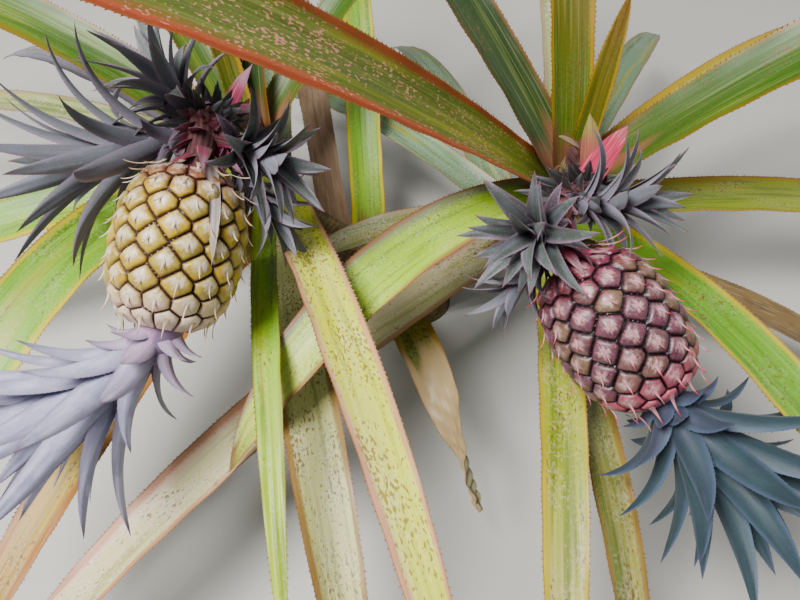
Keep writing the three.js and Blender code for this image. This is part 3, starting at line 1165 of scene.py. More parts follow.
def scarred_relief(travel: np.ndarray, turns: np.ndarray) -> np.ndarray:
    """Gives a stem slanting leaf scars, 31 fine ribs between them and five broad swells.

    Args:
        travel: millimetres along it.
        turns: turns round it.

    Returns:
        How far its rind stands out.
    """
    lean = travel + 3 * np.sin(2 * math.pi * turns + travel / 21)
    scar = (lean / SCAR_SPACING) % 1
    ribs = 0.35 * np.sin(2 * math.pi * turns * 31 + np.sin(travel / 7))
    swell = 0.5 * np.sin(turns * 2 * math.pi * 5 + travel / 17)
    return 1.3 * scar**2 - 0.9 + ribs * (1 - scar) + swell


def stalk_radius(share: np.ndarray) -> np.ndarray:
    """Returns the stalk's radius, which is the same all along."""
    return STALK_RADIUS + 0 * share


def fibrous_relief(travel: np.ndarray, turns: np.ndarray) -> np.ndarray:
    """Returns how far a stalk's rind stands out: fourteen slack ribs and a faint ripple."""
    return 0.4 * np.sin(2 * math.pi * turns * 14 + travel / 30) + 0.3 * np.sin(travel / 11)


# The fruit


@dataclass
class Fruit:
    """A barrel of waxy eyes in a spiral of staggered rows, each under a papery bract.

    Attributes:
        base: where it meets the stalk.
        axis: its direction from stalk to crown.
        own: a number of its own, for its patterns.
        rise: how far its eyes bulge.
        star: how bright the pale star in the middle of an eye is.
        cap: how much of an eye's stalk side its bract covers.
    """

    base: np.ndarray
    axis: np.ndarray
    own: float
    rise: float
    star: float
    cap: float
    across: np.ndarray = field(init=False)
    upward: np.ndarray = field(init=False)
    chance: np.random.Generator = field(init=False)
    eye_share: np.ndarray = field(init=False)
    eye_turn: np.ndarray = field(init=False)
    ripeness: np.ndarray = field(init=False)

    def __post_init__(self) -> None:
        """Works out the frame and the places of the eyes."""
        self.axis = unit(self.axis)
        self.across = unit(np.cross(UP, self.axis))
        self.upward = np.cross(self.axis, self.across)
        number = np.arange(EYE_COUNT)
        self.chance = np.random.default_rng(int(self.own * 10) + 3)
        stray = self.chance.uniform(-EYE_STRAY, EYE_STRAY, (2, EYE_COUNT))
        self.eye_share = (number + 0.5 + stray[0] * EYES_ROUND * 0.5) / EYE_COUNT
        self.eye_turn = 2 * math.pi * (number + stray[1]) / EYES_ROUND
        self.ripeness = self.chance.uniform(0, 1, EYE_COUNT)

    @staticmethod
    def radius(share: np.ndarray) -> np.ndarray:
        """Returns the barrel's radius under its eyes."""
        away = np.abs(2 * share - 1)
        return FRUIT_RADIUS * np.sqrt(1 - (1 - FRUIT_END_SHARE**2) * away**2.5)

    def barrel(
        self, share: np.ndarray, turn: np.ndarray, extra: np.ndarray | float = 0.0
    ) -> np.ndarray:
        """Finds points on the barrel or over it.

        Args:
            share: shares of its length.
            turn: turns round its axis, in radians.
            extra: heights over it.

        Returns:
            The points.
        """
        reach = self.radius(share) + extra
        return (
            self.base
            + self.axis * (share * FRUIT_LENGTH)[..., None]
            + self.across * (reach * np.cos(turn))[..., None]
            + self.upward * (reach * np.sin(turn))[..., None]
        )

    def eye_frames(self) -> tuple[np.ndarray, np.ndarray, np.ndarray, np.ndarray]:
        """Finds how each eye lies.

        Returns:
            Its middle, and its directions to the crown, around the fruit and outwards.
        """
        step = 0.01
        middle = self.barrel(self.eye_share, self.eye_turn)
        ahead = self.barrel(np.minimum(self.eye_share + step, 1), self.eye_turn)
        behind = self.barrel(np.maximum(self.eye_share - step, 0), self.eye_turn)
        forward = unit(ahead - behind)
        cosine, sine = np.cos(self.eye_turn)[:, None], np.sin(self.eye_turn)[:, None]
        out = self.across * cosine + self.upward * sine
        around = unit(np.cross(out, forward))
        return middle, forward, around, np.cross(forward, around)

    def grow_rind(self, shell: Shell) -> None:
        """Adds the barrel with its bulging eyes.

        Args:
            shell: where it goes.
        """
        steps, sides = 170, 240
        share = np.linspace(0, 1, steps + 1)
        turn = np.arange(sides) / sides * 2 * math.pi
        share, turn = np.meshgrid(share, turn, indexing="ij")
        bare = self.barrel(share, turn).reshape(-1, 3)
        middle, forward, around, _ = self.eye_frames()
        # Each corner belongs to its nearest eye, and a groove runs where two are equally near.
        gaps = (bare**2).sum(1)[:, None] + (middle**2).sum(1)[None, :] - 2 * bare @ middle.T
        order = np.argpartition(gaps, 2, axis=1)[:, :2]
        near = np.sqrt(np.maximum(np.take_along_axis(gaps, order, 1), 0))
        swap = near[:, 0] > near[:, 1]
        nearest = np.where(swap, order[:, 1], order[:, 0])
        depth = np.abs(near[:, 1] - near[:, 0])
        offset = bare - middle[nearest]
        x = np.einsum("ij,ij->i", offset, around[nearest])
        y = np.einsum("ij,ij->i", offset, forward[nearest])
        away = np.hypot(x, y)
        dome = 1 - (1 - np.clip(depth / EYE_SHOULDER, 0, 1)) ** 3
        bearing = np.arctan2(x, y)
        points = 0.7 + 0.3 * np.cos(6 * bearing + self.ripeness[nearest] * 9) * np.cos(bearing)
        star = np.exp(-((away / STAR_RADIUS) ** 2)) * points
        # A cap is a round-cornered patch, about 13 mm wide, on the stalk side of the eye.
        cap = smooth_step(10, 3, np.abs(x) + 0.8 * np.maximum(y, 0)) * smooth_step(1.5, -2.5, y)
        pale = np.clip(self.star * star + self.cap * cap, 0, 1)
        ends = smooth_step(0, 0.05, share.ravel()) * smooth_step(1, 0.94, share.ravel())
        swell = 0.75 + 0.25 * np.cos(np.clip(away / EYE_REACH, 0, 1) * math.pi)
        dimple = -DIMPLE_DEPTH * np.exp(-((away / DIMPLE_RADIUS) ** 2)) + 0.5 * self.cap * cap
        height = (self.rise * dome * swell - GROOVE_DEPTH * (1 - dome) + dimple) * ends
        rings = self.barrel(share, turn, height.reshape(share.shape))
        form = Blade.carried(dome, share.ravel(), pale).reshape(*share.shape, 3)
        tone = 10 * self.own + self.ripeness[nearest]
        grain = Blade.carried(
            self.radius(share).ravel() * np.minimum(turn, 2 * math.pi - turn).ravel(),
            share.ravel() * FRUIT_LENGTH,
            tone,
        ).reshape(*share.shape, 3)
        shell.loft(rings, form, grain)

    def grow_bracts(self, shell: Shell) -> None:
        """Adds the papery bract of each eye, whose free point curves up over its middle.

        Args:
            shell: where they go.
        """
        middle, forward, around, out = self.eye_frames()
        for i, share in enumerate(self.eye_share):
            near_crown = float(smooth_step(0.74, 0.98, share))
            near_stalk = float(smooth_step(0.16, 0.02, share))
            jitter = self.chance.uniform(-1, 1, 3)
            growth = 1 + 0.2 * jitter[0] + 0.2 * near_crown + 0.6 * near_stalk
            start = middle[i] - forward[i] * 6 + out[i] * (self.rise * 0.55)
            scale = Blade(
                root=np.zeros(3),
                heading=12 * jitter[1],
                rise=14 + 7 * jitter[2] + 8 * near_crown,
                droop=-42,
                length=EYE_BRACT_LENGTH * growth,
                width=4.4,
                thickness=0.8,
                sheath=0.3,
                point=0.7,
                channel=1.0,
                opening=0.2,
                wave=0.2,
                own=i + 0.5 + 0.45 * jitter[0],
            )
            axes = np.stack([forward[i], around[i], out[i]])
            scale.grow(shell, steps=9, panels=4, place=(axes, start))

    def lay_strap(self, shell: Shell) -> None:
        """Adds the long dry bract that lies from the stalk across the shoulder of the fruit.

        Args:
            shell: where it goes.
        """
        turn = math.radians(38)
        out = self.across * math.cos(turn) + self.upward * math.sin(turn)
        strap = Blade(
            root=np.zeros(3),
            heading=-6,
            rise=46,
            droop=62,
            length=92,
            width=11,
            sweep=22,
            thickness=1.0,
            point=3,
            twist=60,
            wave=1.5,
        )
        start = self.base + out * 20 - self.axis * 8
        axes = np.stack([self.axis, np.cross(out, self.axis), out])
        strap.grow(shell, steps=40, panels=6, place=(axes, start))


# Crowns and slips


@dataclass
class Tuft:
    """A core with small leaves in a golden spiral: a crown or a slip.

    Attributes:
        line: the core's middle.
        core_radius: the core's radius at its foot.
        leaves: how many leaves it has.
        first_leaf: the share along the core where the first one grows.
        turn: the heading of the first leaf.
        outer_rise, inner_rise: how steeply the outermost and the innermost leaf stand.
        droop: how far the outer leaves bend back.
        leaf_length, leaf_width: the size of the longest leaf.
        scale_share: the share of the leaves, from the outside, that stay short.
        own: a number of its own.
    """

    line: Line
    core_radius: float
    leaves: int
    first_leaf: float
    turn: float
    outer_rise: float
    inner_rise: float
    droop: float
    leaf_length: float
    leaf_width: float
    scale_share: float
    own: float

    def grow(self, shell: Shell) -> None:
        """Adds the core and its leaves, from the short outer ones to the long inner ones.

        Args:
            shell: where they go.
        """
        steps = 40
        limb(shell, self.line, sides=20, steps=12, radius=self.core, own=self.own)
        normals, binormals, tangents = self.line.frames(steps)
        chance = np.random.default_rng(int(self.own * 7) + 11)
        for i in range(self.leaves):
            share = i / (self.leaves - 1)
            # Leaves are longest about three fifths of the way in, and the outermost stay short.
            long = float(smooth_step(0.3 * self.scale_share, 1.4 * self.scale_share, share))
            grown = (0.5 + 0.5 * math.sin(math.pi * (0.08 + 0.68 * share))) * (0.4 + 0.6 * long)
            at = self.first_leaf + (LAST_LEAF_SHARE - self.first_leaf) * share
            step = round(at * steps)
            jitter = chance.uniform(-1, 1, 4)
            heading = self.turn + GOLDEN_TURN * i + 14 * jitter[1]
            towards = math.radians(heading)
            ring = 0.8 * float(self.core(np.array(at)))
            leaf = Blade(
                root=ring * np.array([math.cos(towards), math.sin(towards), 0]),
                heading=heading,
                rise=self.outer_rise + (self.inner_rise - self.outer_rise) * share + 8 * jitter[2],
                droop=self.droop * (1 - 0.7 * share) * (1 + 0.3 * jitter[0]),
                sweep=16 * jitter[3],
                length=self.leaf_length * grown * (1 + 0.16 * jitter[3]) - ring * 0.6,
                width=self.leaf_width * (0.58 + 0.38 * grown),
                thickness=1.5,
                sheath=-0.2,
                point=1.9,
                channel=0.45,
                opening=0.5,
                fold=0.12,
                wave=0.25,
                own=100 * self.own + i + min(0.95, max(0.02, share)),
            )
            axes = np.stack([normals[step], binormals[step], tangents[step]])
            place = (axes, self.line.at(at))
            leaf.grow(shell, steps=22, panels=8, spines=TUFT_SPINES, place=place)

    def core(self, share: np.ndarray) -> np.ndarray:
        """Returns the core's radius, which tapers to its tip."""
        return self.core_radius * (1 - 0.55 * share)


# The plant


@dataclass(frozen=True)
class LeafSpec:
    """One leaf of a rosette, as the solids have it, and its finish.

    Attributes:
        name: its name in the rosette.
        heading, rise, droop, sweep: where it points and how it bends.
        roll: how far its face turns.
        length, width: its size.
        slot: the record's slot.
        finish: the name of its finish.
        share: its own share along the stem, or none.
        fold, wither: its crease, and where it begins to shrivel.
    """

    name: str
    heading: float
    rise: float
    droop: float
    sweep: float
    roll: float
    length: float
    width: float
    slot: str
    finish: str
    share: float | None = None
    fold: float = 0.0
    wither: float = 1.0


@dataclass(frozen=True)
class BractSpec:
    """One bract on a stalk: where it grows, where it points, its size and its finish."""

    share: float
    heading: float
    rise: float
    length: float
    width: float
    finish: str


@dataclass(frozen=True)
class SlipSpec:
    """One leafy side shoot at the base of a fruit.

    Attributes:
        foot, tip: where its core begins and ends.
        radius: the radius of the solid's core.
        leaves: how many leaves the solid has.
        length, width: the size of the solid's longest leaf.
        turn: the heading of the first leaf.
    """

    foot: tuple[float, float, float]
    tip: tuple[float, float, float]
    radius: float
    leaves: int
    length: float
    width: float
    turn: float


@dataclass
class Shoot:
    """A stem with its rosette, stalk, fruit, slips and crown.

    Attributes:
        name: the side that it stands on.
        stem_name: the stem's node.
        stem: control points of the stem's middle.
        stem_radius: its radius.
        leaves: the leaves, from the oldest to the youngest.
        stalk: points that the stalk passes.
        bracts: the bracts along the stalk.
        slips: the slips of each node.
        fruit_base, fruit_axis: where the fruit is and where it points.
        crown_bend, crown_length, crown_width, crown_turn: the crown's bend and its leaves.
        crown_rise, crown_droop: how steeply its outer leaves stand, and how far they bend back.
        crown_leaves, crown_scales: how many leaves it has, and the share that stays short.
        pale: how bright the star on each eye is, and how far its bract covers it.
        has_strap: whether a long dry bract lies across the fruit.
        finishes: the materials by name.
        own: a number of its own, for its patterns.
    """

    name: str
    stem_name: str
    stem: list[tuple[float, float, float]]
    stem_radius: float
    leaves: list[LeafSpec]
    stalk: list[tuple[float, float, float]]
    bracts: list[BractSpec]
    slips: dict[str, list[SlipSpec]]
    fruit_base: tuple[float, float, float]
    fruit_axis: tuple[float, float, float]
    crown_bend: tuple[float, float, float]
    crown_length: float
    crown_width: float
    crown_turn: float
    crown_rise: float
    crown_droop: float
    crown_leaves: int
    crown_scales: float
    pale: tuple[float, float]
    has_strap: bool
    finishes: dict[str, bpy.types.Material]
    own: float
    stem_line: Line = field(init=False)
    stalk_line: Line = field(init=False)
    axis: np.ndarray = field(init=False)

    def __post_init__(self) -> None:
        """Draws the middle lines of the stem and the stalk."""
        self.stem_line = Line.arc(*self.stem)
        self.axis = unit(np.array(self.fruit_axis, float))
        upwards = self.stem_line.along(1.0)
        foot = self.stem_line.at(1.0) + upwards * CLEARANCE
        head = np.array(self.fruit_base, float) - self.axis * CLEARANCE
        knots = [foot, foot + upwards * 18, *np.array(self.stalk, float)]
        knots += [head - self.axis * 26, head - self.axis * 8, head]
        self.stalk_line = Line.spline(np.array(knots))

    def radius_at(self, share: np.ndarray) -> np.ndarray:
        """Returns the stem's radius: flared at the ground, then an even taper to its tip."""
        flare = FOOT_FLARE * np.exp(-self.stem_line.at(share)[..., 2] / FLARE_HEIGHT)
        return self.stem_radius + flare + (STEM_TIP_RADIUS - self.stem_radius) * share**2

    def grow_stem(self) -> None:
        """Makes the stem, ringed with leaf scars over a fibrous rind."""
        shell = Shell()
        sides, steps = 84, 160
        limb(shell, self.stem_line, sides, steps, self.radius_at, scarred_relief, self.own)
        # The foot stands on the ground and doesn't reach below it.
        for points in shell.points:
            points[:, 2] = np.maximum(points[:, 2], 0)
        shell.piece(f"{self.stem_name}_rind", self.finishes["stem"], "stem", (self.stem_name,))

    def grow_leaves(self) -> None:
        """Makes each leaf of the rosette as a piece of its own."""
        last = len(self.leaves) - 1
        for rank, spec in enumerate(self.leaves):
            share = spec.share
            if share is None:
                share = FIRST_LEAF_SHARE + (LAST_LEAF_SHARE - FIRST_LEAF_SHARE) * rank / last
            heading = math.radians(spec.heading)
            outward = np.array([math.cos(heading), math.sin(heading), 0])
            lean = float(outward @ self.stem_line.along(share))
            reach = float(self.radius_at(np.array(share))) / math.sqrt(1 - lean * lean)
            leaf = Blade(
                root=self.stem_line.at(share) + outward * (reach - LEAF_SEAT),
                heading=spec.heading,
                rise=spec.rise,
                droop=spec.droop,
                sweep=spec.sweep,
                length=spec.length + LEAF_SEAT,
                width=spec.width,
                sheath=0.3,
                point=4.5,
                fold=spec.fold,
                roll=spec.roll,
                wither=spec.wither,
                own=self.own * 50 + rank * 1.37,
            )
            shell = Shell()
            leaf.grow(shell, steps=100, panels=14, spines=LEAF_SPINES)
            node = f"{self.name}_leaf_{spec.name}"
            shell.piece(f"{node}_blade", self.finishes[spec.finish], spec.slot, (node,))

    def grow_stalk(self) -> None:
        """Makes the stalk and the bracts along it."""
        shell = Shell()
        sides, steps = 48, 90
        limb(shell, self.stalk_line, sides, steps, stalk_radius, fibrous_relief, self.own)
        node = f"{self.name}_stalk"
        shell.piece(f"{node}_rind", self.finishes["stalk"], "stalk", (node,))
        for finish in sorted({bract.finish for bract in self.bracts}):
            shell = Shell()
            for i, bract in enumerate(self.bracts):
                if bract.finish == finish:
                    Blade(
                        root=self.stalk_line.at(bract.share),
                        heading=bract.heading,
                        rise=bract.rise,
                        droop=25,
                        length=bract.length,
                        width=bract.width,
                        thickness=1.4,
                        own=self.own + i,
                    ).grow(shell, steps=30, panels=8, spines=BRACT_SPINES)
            shell.piece(f"{node}_{finish}", self.finishes[finish], "stalk")

    def grow_ruff(self) -> None:
        """Makes the grey scale leaves along the stalk and the red ruff under the fruit."""
        steps = 60
        normals, binormals, tangents = self.stalk_line.frames(steps)
        shells = {"slip": Shell(), "dusky_bract": Shell()}
        for i in range(RUFF_COUNT):
            reached = i / (RUFF_COUNT - 1)
            share = RUFF_FROM + RUFF_SPAN * reached
            step = round(share * steps)
            axes = np.stack([normals[step], binormals[step], tangents[step]])
            place = (axes, self.stalk_line.at(share))
            # The red bracts grow longer towards the fruit.
            red = reached > RED_FROM
            size = (24 + 60 * max(0.0, reached - 0.7) if red else 40) + 9 * math.sin(2.3 * i)
            bract = Blade(
                root=np.zeros(3),
                heading=GOLDEN_TURN * i,
                rise=60 - 38 * reached**3,
                droop=10 - 56 * reached**3,
                length=size + 14,
                width=15,
                thickness=0.9,
                sheath=0.3,
                point=1.5,
                own=self.own + 10 + i + 0.6,
            )
            shell = shells["dusky_bract" if red else "slip"]
            bract.grow(shell, steps=12, panels=6, spines=SCALE_SPINES, place=place)
        for finish, kind in (("slip", "scales"), ("dusky_bract", "ruff")):
            shells[finish].piece(f"{self.name}_stalk_{kind}", self.finishes[finish], "stalk")

    def grow_fruit(self) -> None:
        """Makes the fruit's rind and the bracts on its eyes."""
        fruit = Fruit(np.array(self.fruit_base, float), self.axis, self.own, EYE_RISE, *self.pale)
        slot = f"{self.name}_fruit"
        shell = Shell()
        fruit.grow_rind(shell)
        shell.piece(f"{slot}_rind", self.finishes[slot], slot, (slot,))
        shell = Shell()
        fruit.grow_bracts(shell)
        shell.piece(f"{slot}_bracts", self.finishes[f"{slot}_bract"], slot)
        if self.has_strap:
            shell = Shell()
            fruit.lay_strap(shell)
            shell.piece(f"{slot}_strap", self.finishes["strap"], slot)

    def grow_slips(self) -> None:
        """Makes the slips round the base of the fruit."""
        for side, specs in self.slips.items():
            shell = Shell()
            for i, spec in enumerate(specs):
                foot, tip = np.array(spec.foot, float), np.array(spec.tip, float)
                middle = foot + 0.55 * (tip - foot) - SLIP_SAG * UP
                Tuft(
                    line=Line.arc(tuple(foot), tuple(middle), tuple(tip)),
                    core_radius=SLIP_CORE_RATIO * spec.radius,
                    leaves=round(SLIP_LEAVES_RATIO * spec.leaves),
                    first_leaf=0.12,
                    turn=spec.turn,
                    outer_rise=40,
                    inner_rise=78,
                    droop=82,
                    leaf_length=SLIP_LENGTH_RATIO * spec.length,
                    leaf_width=SLIP_WIDTH_RATIO * spec.width,
                    scale_share=0.15,
                    own=self.own + 3 + i + len(side),
                ).grow(shell)
            node = f"{self.name}_slip_{side}"
            shell.piece(f"{node}_leaves", self.finishes["slip"], "slip", (node,))

    def grow_crown(self) -> None:
        """Makes the crown at the far end of the fruit."""
        foot = np.array(self.fruit_base, float) + self.axis * (FRUIT_LENGTH - CROWN_SEAT)
        bend = CROWN_CORE_BEND * np.array(self.crown_bend, float)
        bent = foot + self.axis * CROWN_CORE_LENGTH + bend
        shell = Shell()
        Tuft(
            line=Line.arc(tuple(foot), tuple(foot + 22 * self.axis), tuple(bent)),
            core_radius=CROWN_CORE_RADIUS,
            leaves=self.crown_leaves,
            first_leaf=0.0,
            turn=self.crown_turn,
            outer_rise=self.crown_rise,
            inner_rise=82,
            droop=self.crown_droop,
            leaf_length=self.crown_length,
            leaf_width=CROWN_WIDTH_RATIO * self.crown_width,
            scale_share=self.crown_scales,
            own=self.own + 1,
        ).grow(shell)
        node = f"{self.name}_crown"
        shell.piece(f"{node}_leaves", self.finishes[node], node, (node,))

    def grow(self) -> None:
        """Makes every piece of the shoot."""
        self.grow_stem()
        self.grow_leaves()
        self.grow_stalk()
        self.grow_ruff()
        self.grow_fruit()
        self.grow_slips()
        self.grow_crown()


def make_finishes() -> dict[str, bpy.types.Material]:
    """Makes every finish of the plant.

    Returns:
        The materials, by the names that the specs use.
    """
    leaves = {
        "bright": LeafCuticle(
            "bright green leaf cuticle", "#3f5c06", "#3a6203", "#5f8008", margin="#7f6c1c",
            margin_share=0.05, fleck_share=0.25, bloom=0.05, streak="#345406", band="#728620",
        ),
        "fresh": LeafCuticle(
            "fresh green leaf cuticle", "#8fb83a", "#7fb522", "#92bd30", margin="#cfc04c",
            flank="#cfca52", flank_share=0.25, fleck_share=0.15, bloom=0.3, bloom_colour="#c3d09a",
        ),
        "grass": LeafCuticle(
            "grass green leaf cuticle", "#608c16", "#649a0e", "#98aa22", margin="#bcaa34",
            margin_share=0.08, fleck_share=0.35, bloom=0.15, streak="#4a7810", band="#b0b838",
        ),
        # The grey flank on this leaf's right half is painted shade of the channel's shaded fold.
        "channelled": LeafCuticle(
            "channelled green leaf cuticle", "#acd048", "#b4da4c", "#ccd46c", margin="#a8805c",
            margin_share=0.07, flank="#8f8780", flank_side=Side.RIGHT, flank_share=0.34,
            fleck_share=0.2, bloom=0.4, bloom_colour="#dfe6b4", streak="#84a430", band="#cede74",
        ),
        "deep": LeafCuticle(
            "deep green leaf cuticle", "#2c4210", "#203a08", "#2c4c10", margin="#5f4a22",
            margin_share=0.07, fleck_share=0.1, bloom=0.05, bloom_colour="#6f7f4c",
            streak="#182e06", band="#38501a",
        ),
        "olive": LeafCuticle(
            "olive leaf cuticle", "#4f6e12", "#665f16", "#705420", margin="#a5861e", margin_share=0.1,
            fleck_share=0.25, bloom=0.06, streak="#3f5210", band="#6f6226",
        ),
        "red": LeafCuticle(
            "red-edged leaf cuticle", "#6c7a22", "#566412", "#4a6a0c", margin="#8c4228",
            margin_share=0.08, flank="#b05a4c", flank_share=0.42, fleck="#dc9c8c",
            fleck_share=0.55, base="#4c5a1c", bloom=0.12, bloom_colour="#a5904a",
            streak="#42560c", band="#9a9a30",
        ),
        "yellowing": LeafCuticle(
            "yellowing leaf cuticle", "#7f9a24", "#93a030", "#a8a432", margin="#b0922c",
            margin_share=0.08, fleck_share=0.35,
        ),
        "speckled": LeafCuticle(
            "speckled yellow leaf cuticle", "#b8d044", "#dfe45c", "#e8ea72", margin="#dca888",
            margin_share=0.08, flank="#dcb99a", flank_side=Side.RIGHT, flank_share=0.26,
            fleck="#8f6f2c", fleck_share=0.7, bloom=0.4, bloom_colour="#f2f0c0", streak="#a6b440",
            band="#e8e48a",
        ),
        "narrow": LeafCuticle(
            "narrow green leaf cuticle", "#7fae26", "#93c42c", "#bcd044", margin="#8fa63a",
            margin_share=0.08, fleck_share=0.1, bloom=0.3, bloom_colour="#d0dc90",
        ),
        "wide": LeafCuticle(
            "beige-green leaf cuticle", "#bcc068", "#dad896", "#d0ce7c", margin="#947644",
            margin_share=0.08, flank="#947a3c", flank_side=Side.RIGHT, flank_share=0.28,
            fleck="#74522a", fleck_share=0.6, bloom=0.55, bloom_colour="#ece4c4", streak="#96965a",
            band="#dcd4a0",
        ),
        "front": LeafCuticle(
            "green to beige leaf cuticle", "#7c9c22", "#a9b444", "#cdb890", margin="#c4b23c",
            margin_share=0.08, fleck_share=0.3, bloom=0.45, bloom_colour="#d8c6a0",
        ),
        "under": LeafCuticle(
            "shaded olive leaf cuticle", "#6f7434", "#84824a", "#8f8864", margin="#8f7440",
            fleck_share=0.5, bloom=0.5, bloom_colour="#aaa88c",
        ),
        "beige": LeafCuticle(
            "beige leaf cuticle", "#bcc266", "#e4dcaa", "#e0d4a4", margin="#cc9878", margin_share=0.12,
            flank="#ecc4ae", flank_side=Side.RIGHT, flank_share=0.36, fleck_share=0.3, bloom=0.65,
            bloom_colour="#f6ead4", streak="#b0a468", band="#eee0c0",
        ),
        "mealy": LeafCuticle(
            "mealy pale leaf cuticle", "#9aa36c", "#a9b07a", "#b3b08a", margin="#a99a78", bloom=0.75,
            bloom_colour="#cbc9b4", fleck_share=0.2,
        ),
        "lilac": LeafCuticle(
            "lilac bloomed leaf cuticle", "#a39fae", "#b9b4c4", "#b0aabc", margin="#8f8a99", bloom=0.8,
            bloom_colour="#cfcad8", fleck_share=0.15,
        ),
        "grey": LeafCuticle(
            "grey-green leaf cuticle", "#6f8463", "#7f9a7c", "#8a9f86", margin="#8f8f6a", bloom=0.5,
            bloom_colour="#a9b8a6", fleck_share=0.15,
        ),
        "ochre": LeafCuticle(
            "ochre ageing leaf cuticle", "#a5953c", "#c8a43a", "#bf8a3c", margin="#b07a40",
            margin_share=0.24, flank="#968898", flank_side=Side.LEFT, flank_share=0.3, fleck_share=0.5,
        ),
        "dying": LeafCuticle(
            "dying leaf cuticle", "#7f8a34", "#958a34", "#c2a06c", margin="#a9873c", fleck_share=0.6,
            dry_from=0.56, dry="#cbb088",
        ),
    }
    others = {
        "dry": Papery("dry brown leaf", "#6b5a38", "#7f6844", "#94785a", "#4f3d28"),
        "husk": Papery("dry pink-beige leaf", "#94785f", "#b79a80", "#c7ad8e", "#7d6048"),
        "pink_bract": Papery("pink stalk bract", "#8a2f42", "#b8405c", "#c4707a", "#7f2a3c", 0.7),
        "sheath_bract": Papery("salmon stalk bract", "#8a4f44", "#a9685a", "#8f8a4a", "#7a4438", 0.55),
        "dusky_bract": Papery("dusky red stalk bract", "#64203a", "#963a56", "#9a7482", "#4c1c30", 0.5),
        "strap": Papery("dry lilac-grey bract", "#8f7f7c", "#b7aaa6", "#a48f7c", "#75645f", 0.7),
        "right_fruit_bract": Papery(
            "maroon eye bract", "#96606c", "#d79aa6", "#c24a4c", "#8f5a66", 0.55
        ),
        "left_fruit_bract": Papery("straw eye bract", "#cfae7c", "#ead3bc", "#d9b8a0", "#a98560", 0.7),
        "right_fruit": FruitRind(
            "maroon pineapple rind", "#6c4450", "#80684c", "#44222e", "#160a10", 1.15, "#eec4c2",
            "#7a3246", "#c46a78",
        ),
        "left_fruit": FruitRind(
            "golden pineapple rind", "#d0b044", "#ac9e54", "#94723a", "#3c2620", 1.1, "#f6e8d4",
            "#7c3c4c", "#f6d6c4",
        ),
        # In the crown and slip finishes, the first colour, inner, is painted shade near the core.
        # The sixth colour of these finishes, shade, is painted shade in cloudy patches.
        "right_crown": MealyCuticle(
            "blue-green crown leaf", "#0e1218", "#1c362e", "#4c5a70", "#54506c", "#40364a", "#0c2216",
            "#4c5c70",
        ),
        "left_crown": MealyCuticle(
            "silver-lilac crown leaf", "#40384e", "#c2c1de", "#6f5a7c", "#8a6878", "#b07fa0", "#7674a0",
            "#e6e4f4",
        ),
        "slip": MealyCuticle(
            "grey-purple slip leaf", "#2c2834", "#636a6c", "#8c7484", "#7c4c58", "#50404c", "#464e44",
            "#a6a4b4",
        ),
        "stem": StemRind("scarred stem rind", "#7d6c48", "#4f3f2a", "#a99a72"),
        "stalk": StemRind("stalk rind", "#6a4444", "#42262a", "#8a6460"),
    }
    return {name: finish.material() for name, finish in (leaves | others).items()}


